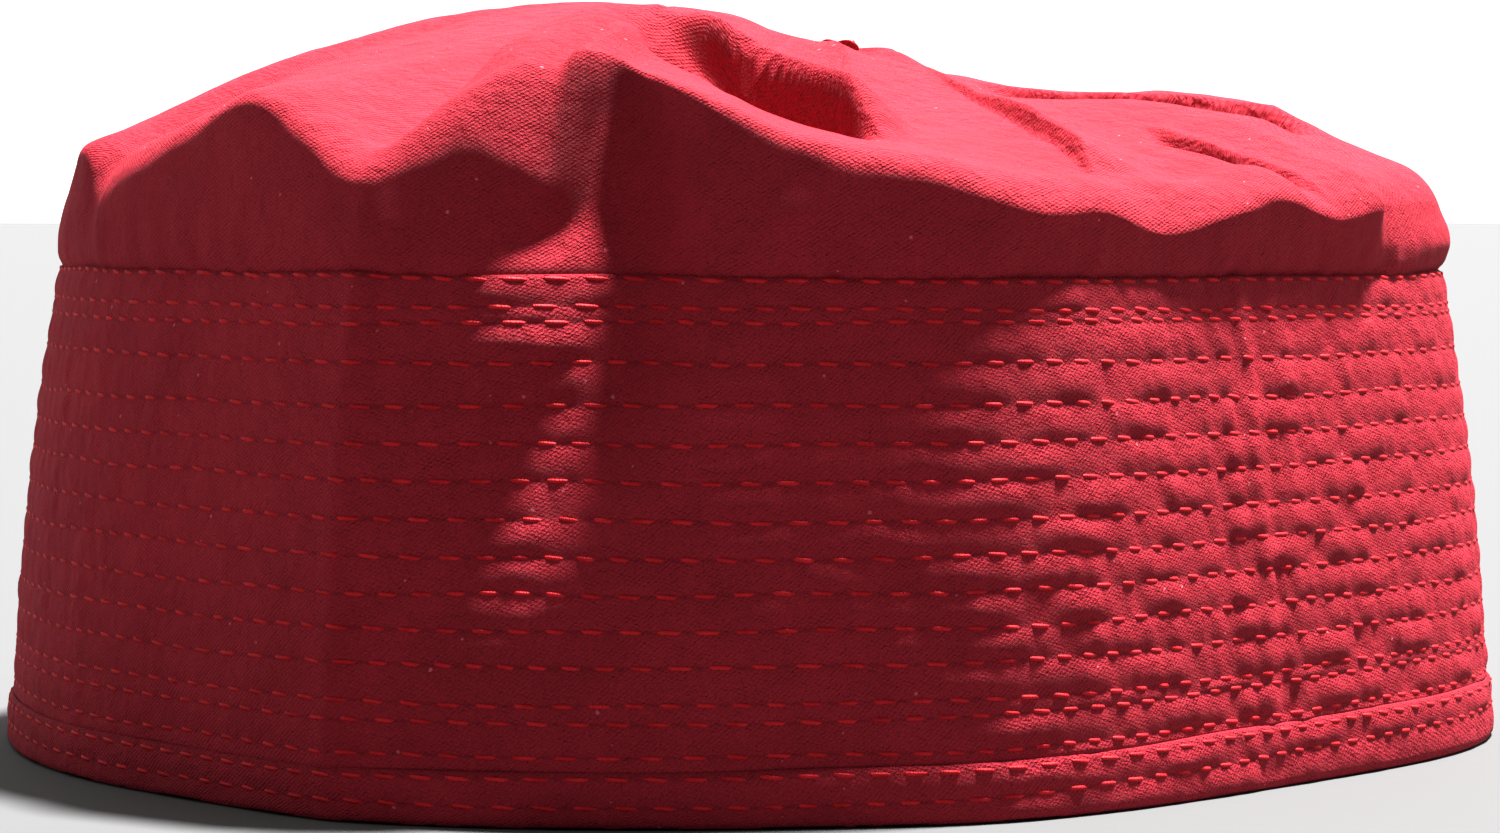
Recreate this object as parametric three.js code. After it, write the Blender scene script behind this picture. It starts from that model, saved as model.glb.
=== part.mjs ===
// A kufi: a soft cotton cap with no brim. A stiff quilted band carries a slack crown of three
// gores, whose tips meet in a small twisted knot, and a folded strip binds the band's lower edge.
//
// Millimetres, +Z up, standing on its rim at z = 0. The origin is the middle of the rim and the
// front faces -Y. Azimuths are degrees round the cap from the front, growing towards +X.

import * as THREE from 'three';

// ---- Driving dimensions -------------------------------------------------------------------

const GAP = 0.3; // left between neighbouring pieces

const RIM_RADIUS = 94.6; // outside of the band at its lower edge
const BAND_TOP_RADIUS = 88.3;
const BAND_HEIGHT = 59;
const BAND_BULGE = 1.1; // swelling of the band halfway up
const BAND_ROWS = [24, 42]; // heights of the facets between its edges
const BAND_WALL = 2.6; // two layers of twill round a stiffener, quilted together

const HEM_HEIGHT = 7;
const HEM_CLOTH = 1; // folded strip
const HEM_PROUD = 0.6; // how far its outside stands out from the band
const HEM_EASE = 0.6; // rounding of its lower corners

const CROWN_CLOTH = 1.2;
const SKIRT_DEPTH = 6; // seam allowance of the crown, tucked down behind the band's top edge
const SKIRT_INSET = BAND_WALL - CROWN_CLOTH;
const TOP_EASE = 0.8; // rounding of the band's top edge

const KNOT = new THREE.Vector3(10.1, 0, 87); // where the gore tips meet
const KNOT_RADIUS = 2.3;
const KNOT_RISE = 1.7;
const KNOT_DEPTH = 1.4;

const STEEPEST_WALL = 0.4; // least cosine of slope that the cloth's thickness is corrected for

// ---- Plan of the cap: a circle with soft flats and a crease in it ---------------------------

// A row for each, with its depth inwards and the angle that it fades out over on either side.
const PLAN_DENTS = [
  { name: 'flat at the front right', azimuth: 47, depth: 9, spread: 42 },
  { name: 'hollow right of the middle', azimuth: 7, depth: 1.2, spread: 12 },
  { name: 'soft corner at the front left', azimuth: -24, depth: -3.5, spread: 24 },
  { name: 'flat at the back left', azimuth: -140, depth: 2.5, spread: 40 },
];

// A dent in the band, left of the middle. It deepens up the band and wanders to the right.
const HOLLOW = { depth: 6, from: -21, full: -12, fading: -9.5, to: -4, low: 12, high: 62 };
const HOLLOW_WANDER = 0.3; // degrees a millimetre
const HOLLOW_LEVEL = 48; // where it stands at those azimuths
const HOLLOW_STRAIGHT = 52; // it goes straight up from here

// An upright edge where the front turns to the left side.
const CORNER = { azimuth: -28, rise: 1.1, spread: 11 };

// ---- Crown ---------------------------------------------------------------------------------

// The gores run between three seams. The front gore takes the deepest folds, so it has the
// most steps across and up.
const GORES = [
  { name: 'crown_gore_front', from: -65.5, to: 65, steps: 42, climb: 19 },
  { name: 'crown_gore_right', from: 65, to: 174, steps: 17, climb: 12 },
  { name: 'crown_gore_left', from: 174, to: 294.5, steps: 18, climb: 12 },
];
const SKIRT_STEPS = 2;
const STEP_CROWDING = 1.15; // above 1, the steps crowd towards the band

// A row for each section from the band's top edge up to the knot. waist and lean are how far
// the wall stands in from the band low down and at its shoulder, shoulder is a height, roll and
// climb are how far in and up the cloth goes as it turns onto the top, and outer and inner are
// heights of the top.
const SECTIONS = [
  { azimuth: -165, waist: 0.5, lean: 2.5, shoulder: 65.5, roll: 6, climb: 6, outer: 79, inner: 84.5 },
  { azimuth: -145, waist: 0, lean: 1.5, shoulder: 70, roll: 6, climb: 6, outer: 81.5, inner: 86.5 },
  { azimuth: -125, waist: 0.5, lean: 2.5, shoulder: 68, roll: 6, climb: 6, outer: 83, inner: 88.5 },
  { azimuth: -105, waist: 0.3, lean: 3, shoulder: 69.5, roll: 6, climb: 6, outer: 86.3, inner: 91.2 },
  { azimuth: -86, waist: 0.2, lean: 2.8, shoulder: 70, roll: 5, climb: 5.5, outer: 87.6, inner: 92.7 },
  { azimuth: -68, waist: -0.2, lean: 0.8, shoulder: 71.5, roll: 4, climb: 4.5, outer: 87.2, inner: 92.8 },
  { azimuth: -63.5, waist: 0, lean: 1, shoulder: 66.8, roll: 5, climb: 7, outer: 86, inner: 92.6 },
  { azimuth: -56, waist: 0, lean: 0.5, shoulder: 69.6, roll: 5, climb: 6, outer: 85.4, inner: 92.3 },
  { azimuth: -48, waist: 0, lean: 0.8, shoulder: 73.2, roll: 5, climb: 5.5, outer: 85.5, inner: 92 },
  { azimuth: -40.5, waist: 0, lean: 1, shoulder: 76.3, roll: 4, climb: 4, outer: 86, inner: 92 },
  { azimuth: -35, waist: 0, lean: 1, shoulder: 73.4, roll: 5, climb: 5, outer: 86, inner: 91.8 },
  { azimuth: -29, waist: 0, lean: 1, shoulder: 69.3, roll: 6, climb: 6, outer: 86, inner: 91.5 },
  { azimuth: -23.5, waist: 0.4, lean: 1.5, shoulder: 71.2, roll: 6, climb: 8, outer: 88, inner: 91 },
  { azimuth: -20.2, waist: 0.7, lean: 1.5, shoulder: 72.3, roll: 6, climb: 9.5, outer: 89.5, inner: 90.5 },
  { azimuth: -17.4, waist: 0.8, lean: 0.8, shoulder: 71, roll: 6, climb: 12, outer: 90, inner: 89.8 },
  { azimuth: -14.6, waist: 0.6, lean: 0.6, shoulder: 69.8, roll: 5, climb: 12.9, outer: 90, inner: 89.6 },
  { azimuth: -12.8, waist: 0.4, lean: 1.3, shoulder: 80.5, roll: 3.9, climb: 4.3, outer: 89.5, inner: 89.3 },
  { azimuth: -7.5, waist: 0.7, lean: 1.8, shoulder: 78.6, roll: 3.5, climb: 3.5, outer: 85, inner: 88.3 },
  { azimuth: -3.5, waist: 0.7, lean: 1.6, shoulder: 75.9, roll: 3.5, climb: 3.5, outer: 80.5, inner: 87.3 },
  { azimuth: 1, waist: 0, lean: 0.8, shoulder: 72.8, roll: 3.5, climb: 3.5, outer: 78.6, inner: 86.3 },
  { azimuth: 7, waist: -0.2, lean: 0.2, shoulder: 70.2, roll: 4, climb: 4, outer: 77.6, inner: 85.5 },
  { azimuth: 14, waist: -0.3, lean: -0.4, shoulder: 68.5, roll: 4, climb: 4, outer: 76.3, inner: 84.3 },
  { azimuth: 22, waist: -0.4, lean: -0.8, shoulder: 65.9, roll: 5, climb: 4.5, outer: 75.2, inner: 83 },
  { azimuth: 28, waist: -0.3, lean: -0.7, shoulder: 66.2, roll: 5, climb: 4, outer: 74.8, inner: 82.3 },
  { azimuth: 35, waist: -0.3, lean: -0.7, shoulder: 63.8, roll: 5, climb: 5.5, outer: 74.5, inner: 81.7 },
  { azimuth: 44, waist: -0.8, lean: -1.7, shoulder: 66.2, roll: 5, climb: 4, outer: 75.5, inner: 81.6 },
  { azimuth: 49.5, waist: -0.8, lean: -1.7, shoulder: 67.6, roll: 5, climb: 4, outer: 76.5, inner: 81.8 },
  { azimuth: 57, waist: -0.8, lean: -1.7, shoulder: 65.3, roll: 5, climb: 5.5, outer: 78, inner: 82.1 },
  { azimuth: 63.5, waist: -0.8, lean: -1.6, shoulder: 66.6, roll: 5, climb: 5.5, outer: 79.3, inner: 82.4 },
  { azimuth: 67, waist: -0.3, lean: 0.4, shoulder: 67, roll: 5, climb: 5, outer: 79.8, inner: 82.6 },
  { azimuth: 90, waist: -1, lean: 0.5, shoulder: 67, roll: 5, climb: 5.5, outer: 80.3, inner: 82.3 },
  { azimuth: 115, waist: -0.5, lean: 2.5, shoulder: 66.5, roll: 6, climb: 6, outer: 81, inner: 82.8 },
  { azimuth: 135, waist: 0, lean: 1.5, shoulder: 69, roll: 6, climb: 6, outer: 80, inner: 83 },
  { azimuth: 155, waist: 0.5, lean: 2.5, shoulder: 65, roll: 6, climb: 6, outer: 78, inner: 83 },
  { azimuth: 175, waist: 0, lean: 1.5, shoulder: 68.5, roll: 6, climb: 6, outer: 79.5, inner: 84 },
];

// Where the section's points fall on the way from the band (0) to the knot (1), and how far
// from the crest of the roll to the knot the outer and inner heights stand.
const REACH = { base: 0, waist: 0.05, shoulder: 0.15, crest: 0.25, outer: 0.5, inner: 0.77, knot: 1 };
const OUTER_SHARE = 0.3;
const INNER_SHARE = 0.66;
const WAIST_SHARE = 0.45; // of the wall's height
const ROLL_ENDS = [2, 3]; // places in REACH where the roll starts and ends

// The wall is tucked in above the band under the peak, and the peak's sections lean over with it.
const TUCK = { depth: 4.2, slope: 0.5, from: -21, full: -12, fading: -11.5, to: -5, fadeReach: 0.6 };
const SWAY = { turn: 2, azimuth: -12, spread: 6, low: 0.12, high: 0.25 };

// A row for each fold pressed into the crown, as a line in plan. rise is its height, negative
// for a valley. left and right are its widths on the two sides of the way from start to end,
// sharp is 0 for a round fold and 1 for a crease, and fadeIn and fadeOut are shares of its length.
const FOLDS = [
  { name: 'pocket', start: [-17, -58.5], end: [15, -72], rise: -4,
    left: 5.5, right: 6, sharp: 0.3, fadeIn: 0.3, fadeOut: 0.25 },
  { name: 'step behind the pocket', start: [-13, -52.5], end: [16, -69], rise: 5.5,
    left: 15, right: 5, sharp: 0.1, fadeIn: 0.35, fadeOut: 0.2 },
  { name: 'ridge to the knot', start: [8, -40], end: [12, -6], rise: 0.8,
    left: 5, right: 5, sharp: 0.8, fadeIn: 0.4, fadeOut: 0.3 },
  { name: 'edge of the front facet', start: [14, -6], end: [39, -70], rise: 2.2,
    left: 4, right: 20, sharp: 0.9, fadeIn: 0.3, fadeOut: 0.2 },
  { name: 'step behind the facet', start: [19, -18], end: [40, -68], rise: 3.5,
    left: 15, right: 4.5, sharp: 0, fadeIn: 0.75, fadeOut: 0.15 },
  { name: 'dimple at the right', start: [46, -33], end: [69, -46], rise: -4,
    left: 4, right: 6, sharp: 0.1, fadeIn: 0.4, fadeOut: 0.45 },
  { name: 'crease behind the right roll', start: [34, -71], end: [61, -41], rise: -1,
    left: 9, right: 5, sharp: 0.5, fadeIn: 0.3, fadeOut: 0.3 },
  { name: 'kink at the right', start: [61, -34], end: [71, 16], rise: 1.3,
    left: 8, right: 9, sharp: 0.6, fadeIn: 0.35, fadeOut: 0.4 },
  { name: 'valley to the right', start: [26, -9], end: [72, -16], rise: -4.5,
    left: 4, right: 9, sharp: 0.1, fadeIn: 0.3, fadeOut: 0.2 },
  { name: 'ridge behind that valley', start: [28, -2], end: [70, -7], rise: 0.4,
    left: 8, right: 5, sharp: 0.5, fadeIn: 0.3, fadeOut: 0.3 },
  { name: 'shelf beside the knot', start: [14, 16], end: [21, -16], rise: 1.6,
    left: 6, right: 7, sharp: 0.3, fadeIn: 0.35, fadeOut: 0.35 },
  { name: 'ridge to the left', start: [-82, -42], end: [-36, -36], rise: 1,
    left: 6, right: 14, sharp: 0.8, fadeIn: 0.1, fadeOut: 0.5 },
  { name: 'trough at the front left', start: [-44, -80], end: [-16, -30], rise: -3,
    left: 14, right: 9, sharp: 0.2, fadeIn: 0.2, fadeOut: 0.5 },
  { name: 'flank of the peak', start: [-33, -78], end: [-14, -42], rise: 2,
    left: 6, right: 12, sharp: 0.8, fadeIn: 0.3, fadeOut: 0.5 },
  { name: 'valley at the back right', start: [38, 72], end: [17, 16], rise: -4,
    left: 14, right: 10, sharp: 0.3, fadeIn: 0.2, fadeOut: 0.4 },
  { name: 'ridge at the back', start: [10, 84], end: [8, 18], rise: 2,
    left: 8, right: 16, sharp: 0.7, fadeIn: 0.2, fadeOut: 0.4 },
  { name: 'valley at the back left', start: [-62, 58], end: [-10, 20], rise: -4,
    left: 12, right: 16, sharp: 0.3, fadeIn: 0.2, fadeOut: 0.4 },
];
const FOLD_START = 0.12; // folds fade out over this first share of the way up from the band

// ---- Small maths ---------------------------------------------------------------------------

const { clamp, degToRad, lerp, smoothstep } = THREE.MathUtils;

// The azimuth within half a turn of 0.
function wrapped(azimuth) {
  return azimuth - 360 * Math.round(azimuth / 360);
}

// Cubic Hermite from value a to b, a share t along a span of length width.
function hermite(a, slopeA, b, slopeB, t, width) {
  const t2 = t * t;
  const t3 = t2 * t;
  return (2 * t3 - 3 * t2 + 1) * a + (t3 - 2 * t2 + t) * width * slopeA
    + (3 * t2 - 2 * t3) * b + (t3 - t2) * width * slopeB;
}

// The smooth curve through values at knots, at x. Round a corner between two of the knots, it
// runs straight up to the first and straight on from the second.
function curveThrough(knots, values, x, corner = []) {
  const last = knots.length - 1;
  const slope = (i) => {
    const before = i === corner[1] ? i : Math.max(i - 1, 0);
    const after = i === corner[0] ? i : Math.min(i + 1, last);
    return (values[after] - values[before]) / (knots[after] - knots[before]);
  };
  let i = 0;
  while (i < last - 1 && x >= knots[i + 1]) i += 1;
  const width = knots[i + 1] - knots[i];
  return hermite(values[i], slope(i), values[i + 1], slope(i + 1), (x - knots[i]) / width, width);
}

// A column of SECTIONS at any azimuth, smooth all the way round.
function sectionValue(column, azimuth) {
  const knots = [];
  const values = [];
  for (const turn of [-360, 0, 360]) {
    for (const row of SECTIONS) {
      knots.push(row.azimuth + turn);
      values.push(row[column]);
    }
  }
  return curveThrough(knots, values, wrapped(azimuth));
}

// ---- The cap's plan and the band's outside ---------------------------------------------------

function planScale(azimuth) {
  let scale = 1;
  for (const dent of PLAN_DENTS) {
    const off = clamp(wrapped(azimuth - dent.azimuth) / dent.spread, -1, 1);
    scale -= dent.depth / RIM_RADIUS * (1 + Math.cos(Math.PI * off)) / 2;
  }
  return scale;
}

function bandRadius(z) {
  const share = z / BAND_HEIGHT;
  return lerp(RIM_RADIUS, BAND_TOP_RADIUS, share) + 4 * BAND_BULGE * share * (1 - share);
}

// 1 between full and fading, down to 0 at from and at to.
function plateau(x, { from, full, fading, to }) {
  return smoothstep(x, from, full) * (1 - smoothstep(x, fading, to));
}

function hollowDepth(azimuth, z) {
  const turn = wrapped(azimuth) + HOLLOW_WANDER * (HOLLOW_LEVEL - Math.min(z, HOLLOW_STRAIGHT));
  return HOLLOW.depth * plateau(turn, HOLLOW) * smoothstep(z, HOLLOW.low, HOLLOW.high);
}

function cornerRise(azimuth) {
  return CORNER.rise * Math.max(0, 1 - Math.abs(wrapped(azimuth - CORNER.azimuth)) / CORNER.spread) ** 2;
}

// The point at a height, offset outwards from the band's outside.
function ringPoint(azimuth, z, offset) {
  const angle = degToRad(azimuth);
  const radius = bandRadius(z) * planScale(azimuth) + offset
    - hollowDepth(azimuth, z) + cornerRise(azimuth);
  return new THREE.Vector3(radius * Math.sin(angle), -radius * Math.cos(angle), z);
}

// ---- The crown's outer surface ----------------------------------------------------------------

// How far the wall is pushed in, a height above the band.
function tuckDepth(azimuth, height) {
  const turn = wrapped(azimuth);
  const depth = TUCK.depth * clamp((turn - TUCK.from) / (TUCK.full - TUCK.from), 0, 1);
  return clamp(TUCK.slope * height, 0, depth) * (1 - smoothstep(turn, TUCK.fading, TUCK.to));
}

// The crown without its folds: reach is 0 at the band's top edge and 1 at the knot.
function smoothCrownPoint(azimuth, reach) {
  const sway = SWAY.turn * Math.exp(-(((wrapped(azimuth) - SWAY.azimuth) / SWAY.spread) ** 2));
  const at = {};
  for (const column of ['waist', 'lean', 'shoulder', 'roll', 'climb', 'outer', 'inner']) {
    at[column] = sectionValue(column, azimuth + sway * smoothstep(reach, SWAY.low, SWAY.high));
  }
  const foot = ringPoint(azimuth, BAND_HEIGHT, 0);
  const span = Math.hypot(foot.x - KNOT.x, foot.y - KNOT.y);
  const crest = at.lean + at.roll;
  const inwards = [
    SKIRT_INSET,
    at.waist,
    at.lean,
    crest,
    crest + (span - crest) * OUTER_SHARE,
    crest + (span - crest) * INNER_SHARE,
    span - KNOT_RADIUS - GAP,
  ];
  const heights = [
    BAND_HEIGHT + GAP,
    BAND_HEIGHT + (at.shoulder - BAND_HEIGHT) * WAIST_SHARE,
    at.shoulder,
    at.shoulder + at.climb,
    at.outer,
    at.inner,
    KNOT.z,
  ];
  const knots = Object.values(REACH);
  const height = curveThrough(knots, heights, reach, ROLL_ENDS);
  const tuck = tuckDepth(azimuth, height - BAND_HEIGHT)
    * (1 - smoothstep(reach, REACH.crest, TUCK.fadeReach));
  const share = (curveThrough(knots, inwards, reach, ROLL_ENDS) + tuck) / span;
  return new THREE.Vector3(lerp(foot.x, KNOT.x, share), lerp(foot.y, KNOT.y, share), height);
}

// The unit normal of a surface given as a function of azimuth and reach.
function surfaceNormal(surface, azimuth, reach) {
  const turn = 0.5;
  const climb = 0.004;
  const low = Math.max(reach - climb, 0);
  const high = Math.min(reach + climb, 1);
  const across = surface(azimuth + turn, reach).sub(surface(azimuth - turn, reach));
  const up = surface(azimuth, high).sub(surface(azimuth, low));
  return across.cross(up).normalize();
}

// Folds push the wall along its normal, and the top straight up.
function foldDirection(azimuth, reach) {
  const normal = surfaceNormal(smoothCrownPoint, azimuth, reach);
  const upright = smoothstep(reach, FOLD_START, REACH.crest);
  return normal.lerp(new THREE.Vector3(0, 0, 1), upright).normalize();
}

// How far the folds lift the crown over a point in plan.
function foldRise(point, reach) {
  let rise = 0;
  for (const fold of FOLDS) {
    const along = new THREE.Vector2(fold.end[0] - fold.start[0], fold.end[1] - fold.start[1]);
    const length = along.length();
    along.divideScalar(length);
    const offset = new THREE.Vector2(point.x - fold.start[0], point.y - fold.start[1]);
    const share = offset.dot(along) / length;
    const side = offset.x * along.y - offset.y * along.x;
    const x = clamp(Math.abs(side) / (side < 0 ? fold.left : fold.right), 0, 1);
    const section = fold.sharp * (1 - x) ** 2 + (1 - fold.sharp) * (1 - smoothstep(x, 0, 1));
    rise += fold.rise * section
      * smoothstep(share, 0, fold.fadeIn) * smoothstep(1 - share, 0, fold.fadeOut);
  }
  return rise * smoothstep(reach, 0, FOLD_START);
}

function crownPoint(azimuth, reach) {
  const point = smoothCrownPoint(azimuth, reach);
  return point.addScaledVector(foldDirection(azimuth, reach), foldRise(point, reach));
}

// The crown's inner surface, the cloth's thickness below its outer one.
function crownInnerPoint(azimuth, reach) {
  const direction = foldDirection(azimuth, reach);
  const slope = Math.max(direction.dot(surfaceNormal(crownPoint, azimuth, reach)), STEEPEST_WALL);
  return crownPoint(azimuth, reach).addScaledVector(direction, -CROWN_CLOTH / slope);
}

// ---- Solids ------------------------------------------------------------------------------------

function geometryFrom(points, triangles) {
  const geometry = new THREE.BufferGeometry();
  const places = points.flatMap((point) => [point.x, point.y, point.z]);
  geometry.setAttribute('position', new THREE.Float32BufferAttribute(places, 3));
  geometry.setIndex(triangles);
  geometry.computeVertexNormals();
  return geometry;
}

// The azimuths of every step round the cap, so that neighbouring pieces share their facets.
function stepAzimuths() {
  const azimuths = [];
  for (const gore of GORES) {
    for (let i = 0; i < gore.steps; i += 1) {
      azimuths.push(gore.from + (gore.to - gore.from) * i / gore.steps);
    }
  }
  return azimuths;
}

// A closed ring from a closed outline of { offset, z }, listed upwards on its outside.
function ringSolid(outline) {
  const azimuths = stepAzimuths();
  const sides = outline.length;
  const points = azimuths.flatMap((azimuth) => outline.map(({ offset, z }) => ringPoint(azimuth, z, offset)));
  const triangles = [];
  for (let i = 0; i < azimuths.length; i += 1) {
    const next = (i + 1) % azimuths.length;
    for (let k = 0; k < sides; k += 1) {
      const above = (k + 1) % sides;
      const [a, b, c, d] = [i * sides + k, next * sides + k, next * sides + above, i * sides + above];
      // Faces that look at each other across a wall or a gap are split along the same diagonal.
      if (outline[above].z < outline[k].z) triangles.push(a, b, d, b, c, d);
      else triangles.push(a, b, c, a, c, d);
    }
  }
  return geometryFrom(points, triangles);
}

// The band: its foot stands inside the hem, and its top edge is thinned on the inside to make
// room for the crown's skirt.
function bandGeometry() {
  const foot = HEM_CLOTH + GAP;
  const ledge = HEM_HEIGHT + GAP;
  const recess = HEM_PROUD - HEM_CLOTH - GAP;
  const shelf = BAND_HEIGHT - SKIRT_DEPTH - GAP;
  const thinned = GAP - SKIRT_INSET;
  return ringSolid([
    { offset: recess, z: foot },
    { offset: recess, z: ledge },
    { offset: 0, z: ledge },
    ...BAND_ROWS.map((z) => ({ offset: 0, z })),
    { offset: 0, z: BAND_HEIGHT - TOP_EASE },
    { offset: thinned / 2, z: BAND_HEIGHT },
    { offset: thinned, z: BAND_HEIGHT },
    { offset: thinned, z: shelf },
    { offset: -BAND_WALL, z: shelf },
    ...BAND_ROWS.toReversed().map((z) => ({ offset: -BAND_WALL, z })),
    { offset: -BAND_WALL, z: ledge },
    { offset: -BAND_WALL, z: foot },
  ]);
}

// The hem: a strip folded up round the band's foot, flat where it rests.
function hemGeometry() {
  const innerFace = -BAND_WALL - GAP;
  return ringSolid([
    { offset: HEM_PROUD - HEM_EASE, z: 0 },
    { offset: HEM_PROUD, z: HEM_EASE },
    { offset: HEM_PROUD, z: HEM_HEIGHT },
    { offset: HEM_PROUD - HEM_CLOTH, z: HEM_HEIGHT },
    { offset: HEM_PROUD - HEM_CLOTH, z: HEM_CLOTH },
    { offset: innerFace, z: HEM_CLOTH },
    { offset: innerFace, z: HEM_HEIGHT },
    { offset: innerFace - HEM_CLOTH, z: HEM_HEIGHT },
    { offset: innerFace - HEM_CLOTH, z: HEM_EASE },
    { offset: innerFace - HEM_CLOTH + HEM_EASE, z: 0 },
  ]);
}

// The azimuth of a gore's step, drawn in at its two edges to leave half a gap at each seam.
function goreAzimuth(gore, step, distance) {
  const trim = THREE.MathUtils.radToDeg(GAP / 2 / distance);
  return THREE.MathUtils.lerp(gore.from + trim, gore.to - trim, step / gore.steps);
}

// One gore: an outer and an inner sheet of cloth, joined along all four edges.
function goreGeometry(gore) {
  const rows = SKIRT_STEPS + gore.climb + 1;
  const outer = [];
  const inner = [];
  for (let step = 0; step <= gore.steps; step += 1) {
    for (let k = 0; k < SKIRT_STEPS; k += 1) {
      const z = BAND_HEIGHT - SKIRT_DEPTH + (SKIRT_DEPTH - GAP) * k / (SKIRT_STEPS - 1);
      const azimuth = goreAzimuth(gore, step, BAND_TOP_RADIUS);
      outer.push(ringPoint(azimuth, z, -SKIRT_INSET));
      inner.push(ringPoint(azimuth, z, -SKIRT_INSET - CROWN_CLOTH));
    }
    for (let k = 0; k <= gore.climb; k += 1) {
      const reach = (k / gore.climb) ** STEP_CROWDING;
      const middle = smoothCrownPoint(gore.from + (gore.to - gore.from) * step / gore.steps, reach);
      const azimuth = goreAzimuth(gore, step, Math.hypot(middle.x - KNOT.x, middle.y - KNOT.y));
      outer.push(crownPoint(azimuth, reach));
      inner.push(crownInnerPoint(azimuth, reach));
    }
  }
  const triangles = [];
  const quad = (a, b, c, d) => triangles.push(a, b, c, a, c, d);
  const under = outer.length;
  const corner = (step, row) => step * rows + row;
  for (let i = 0; i < gore.steps; i += 1) {
    for (let k = 0; k < rows - 1; k += 1) {
      const [a, b, c, d] = [corner(i, k), corner(i + 1, k), corner(i + 1, k + 1), corner(i, k + 1)];
      quad(a, b, c, d);
      quad(under + a, under + d, under + c, under + b);
    }
    quad(corner(i, 0), under + corner(i, 0), under + corner(i + 1, 0), corner(i + 1, 0));
    const top = rows - 1;
    quad(corner(i, top), corner(i + 1, top), under + corner(i + 1, top), under + corner(i, top));
  }
  for (let k = 0; k < rows - 1; k += 1) {
    const far = gore.steps;
    quad(corner(0, k), corner(0, k + 1), under + corner(0, k + 1), under + corner(0, k));
    quad(corner(far, k), under + corner(far, k), under + corner(far, k + 1), corner(far, k + 1));
  }
  return geometryFrom([...outer, ...inner], triangles);
}

// The knot: a small button of twisted cloth in the hole between the gore tips, with three soft
// lobes and a pit in the middle.
function knotGeometry() {
  const sides = 18;
  const lobes = 3;
  const rings = [
    { radius: 0.75, z: -KNOT_DEPTH, lobe: 0, twist: 0 },
    { radius: 1, z: -KNOT_DEPTH / 2, lobe: 0, twist: 0 },
    { radius: 1, z: KNOT_RISE * 0.35, lobe: 0.05, twist: 10 },
    { radius: 0.82, z: KNOT_RISE * 0.85, lobe: 0.12, twist: 30 },
    { radius: 0.5, z: KNOT_RISE, lobe: 0.2, twist: 50 },
    { radius: 0.2, z: KNOT_RISE * 0.7, lobe: 0.1, twist: 65 },
  ];
  const points = rings.flatMap((ring) => Array.from({ length: sides }, (_, i) => {
    const angle = 2 * Math.PI * i / sides;
    const radius = KNOT_RADIUS * ring.radius * (1 - ring.lobe / 2 * (1 + Math.cos(lobes * angle)));
    const turned = angle + degToRad(ring.twist);
    return new THREE.Vector3(radius * Math.cos(turned), radius * Math.sin(turned), ring.z);
  }));
  const bottom = points.push(new THREE.Vector3(0, 0, rings[0].z)) - 1;
  const pit = points.push(new THREE.Vector3(0, 0, rings.at(-1).z)) - 1;
  const triangles = [];
  for (let i = 0; i < sides; i += 1) {
    const next = (i + 1) % sides;
    for (let k = 0; k < rings.length - 1; k += 1) {
      const [a, b, c, d] = [k * sides + i, k * sides + next, (k + 1) * sides + next, (k + 1) * sides + i];
      triangles.push(a, b, c, a, c, d);
    }
    const top = (rings.length - 1) * sides;
    triangles.push(bottom, next, i, pit, top + i, top + next);
  }
  return geometryFrom(points, triangles);
}

// ---- The cap -------------------------------------------------------------------------------------

function cotton(color, roughness) {
  return new THREE.MeshStandardMaterial({ color, roughness, metalness: 0 });
}

function piece(name, geometry, material) {
  const mesh = new THREE.Mesh(geometry, material);
  mesh.name = name;
  return mesh;
}

const kufi = new THREE.Group();
kufi.name = 'kufi';
kufi.add(piece('band', bandGeometry(), cotton(0xa8142c, 0.85)));
kufi.add(piece('hem', hemGeometry(), cotton(0xb0172f, 0.85)));
for (const gore of GORES) {
  kufi.add(piece(gore.name, goreGeometry(gore), cotton(0xb81a34, 0.8)));
}
const knot = piece('crown_knot', knotGeometry(), cotton(0xb81a34, 0.85));
knot.position.copy(KNOT);
kufi.add(knot);

export default kufi;
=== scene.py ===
import math

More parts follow.
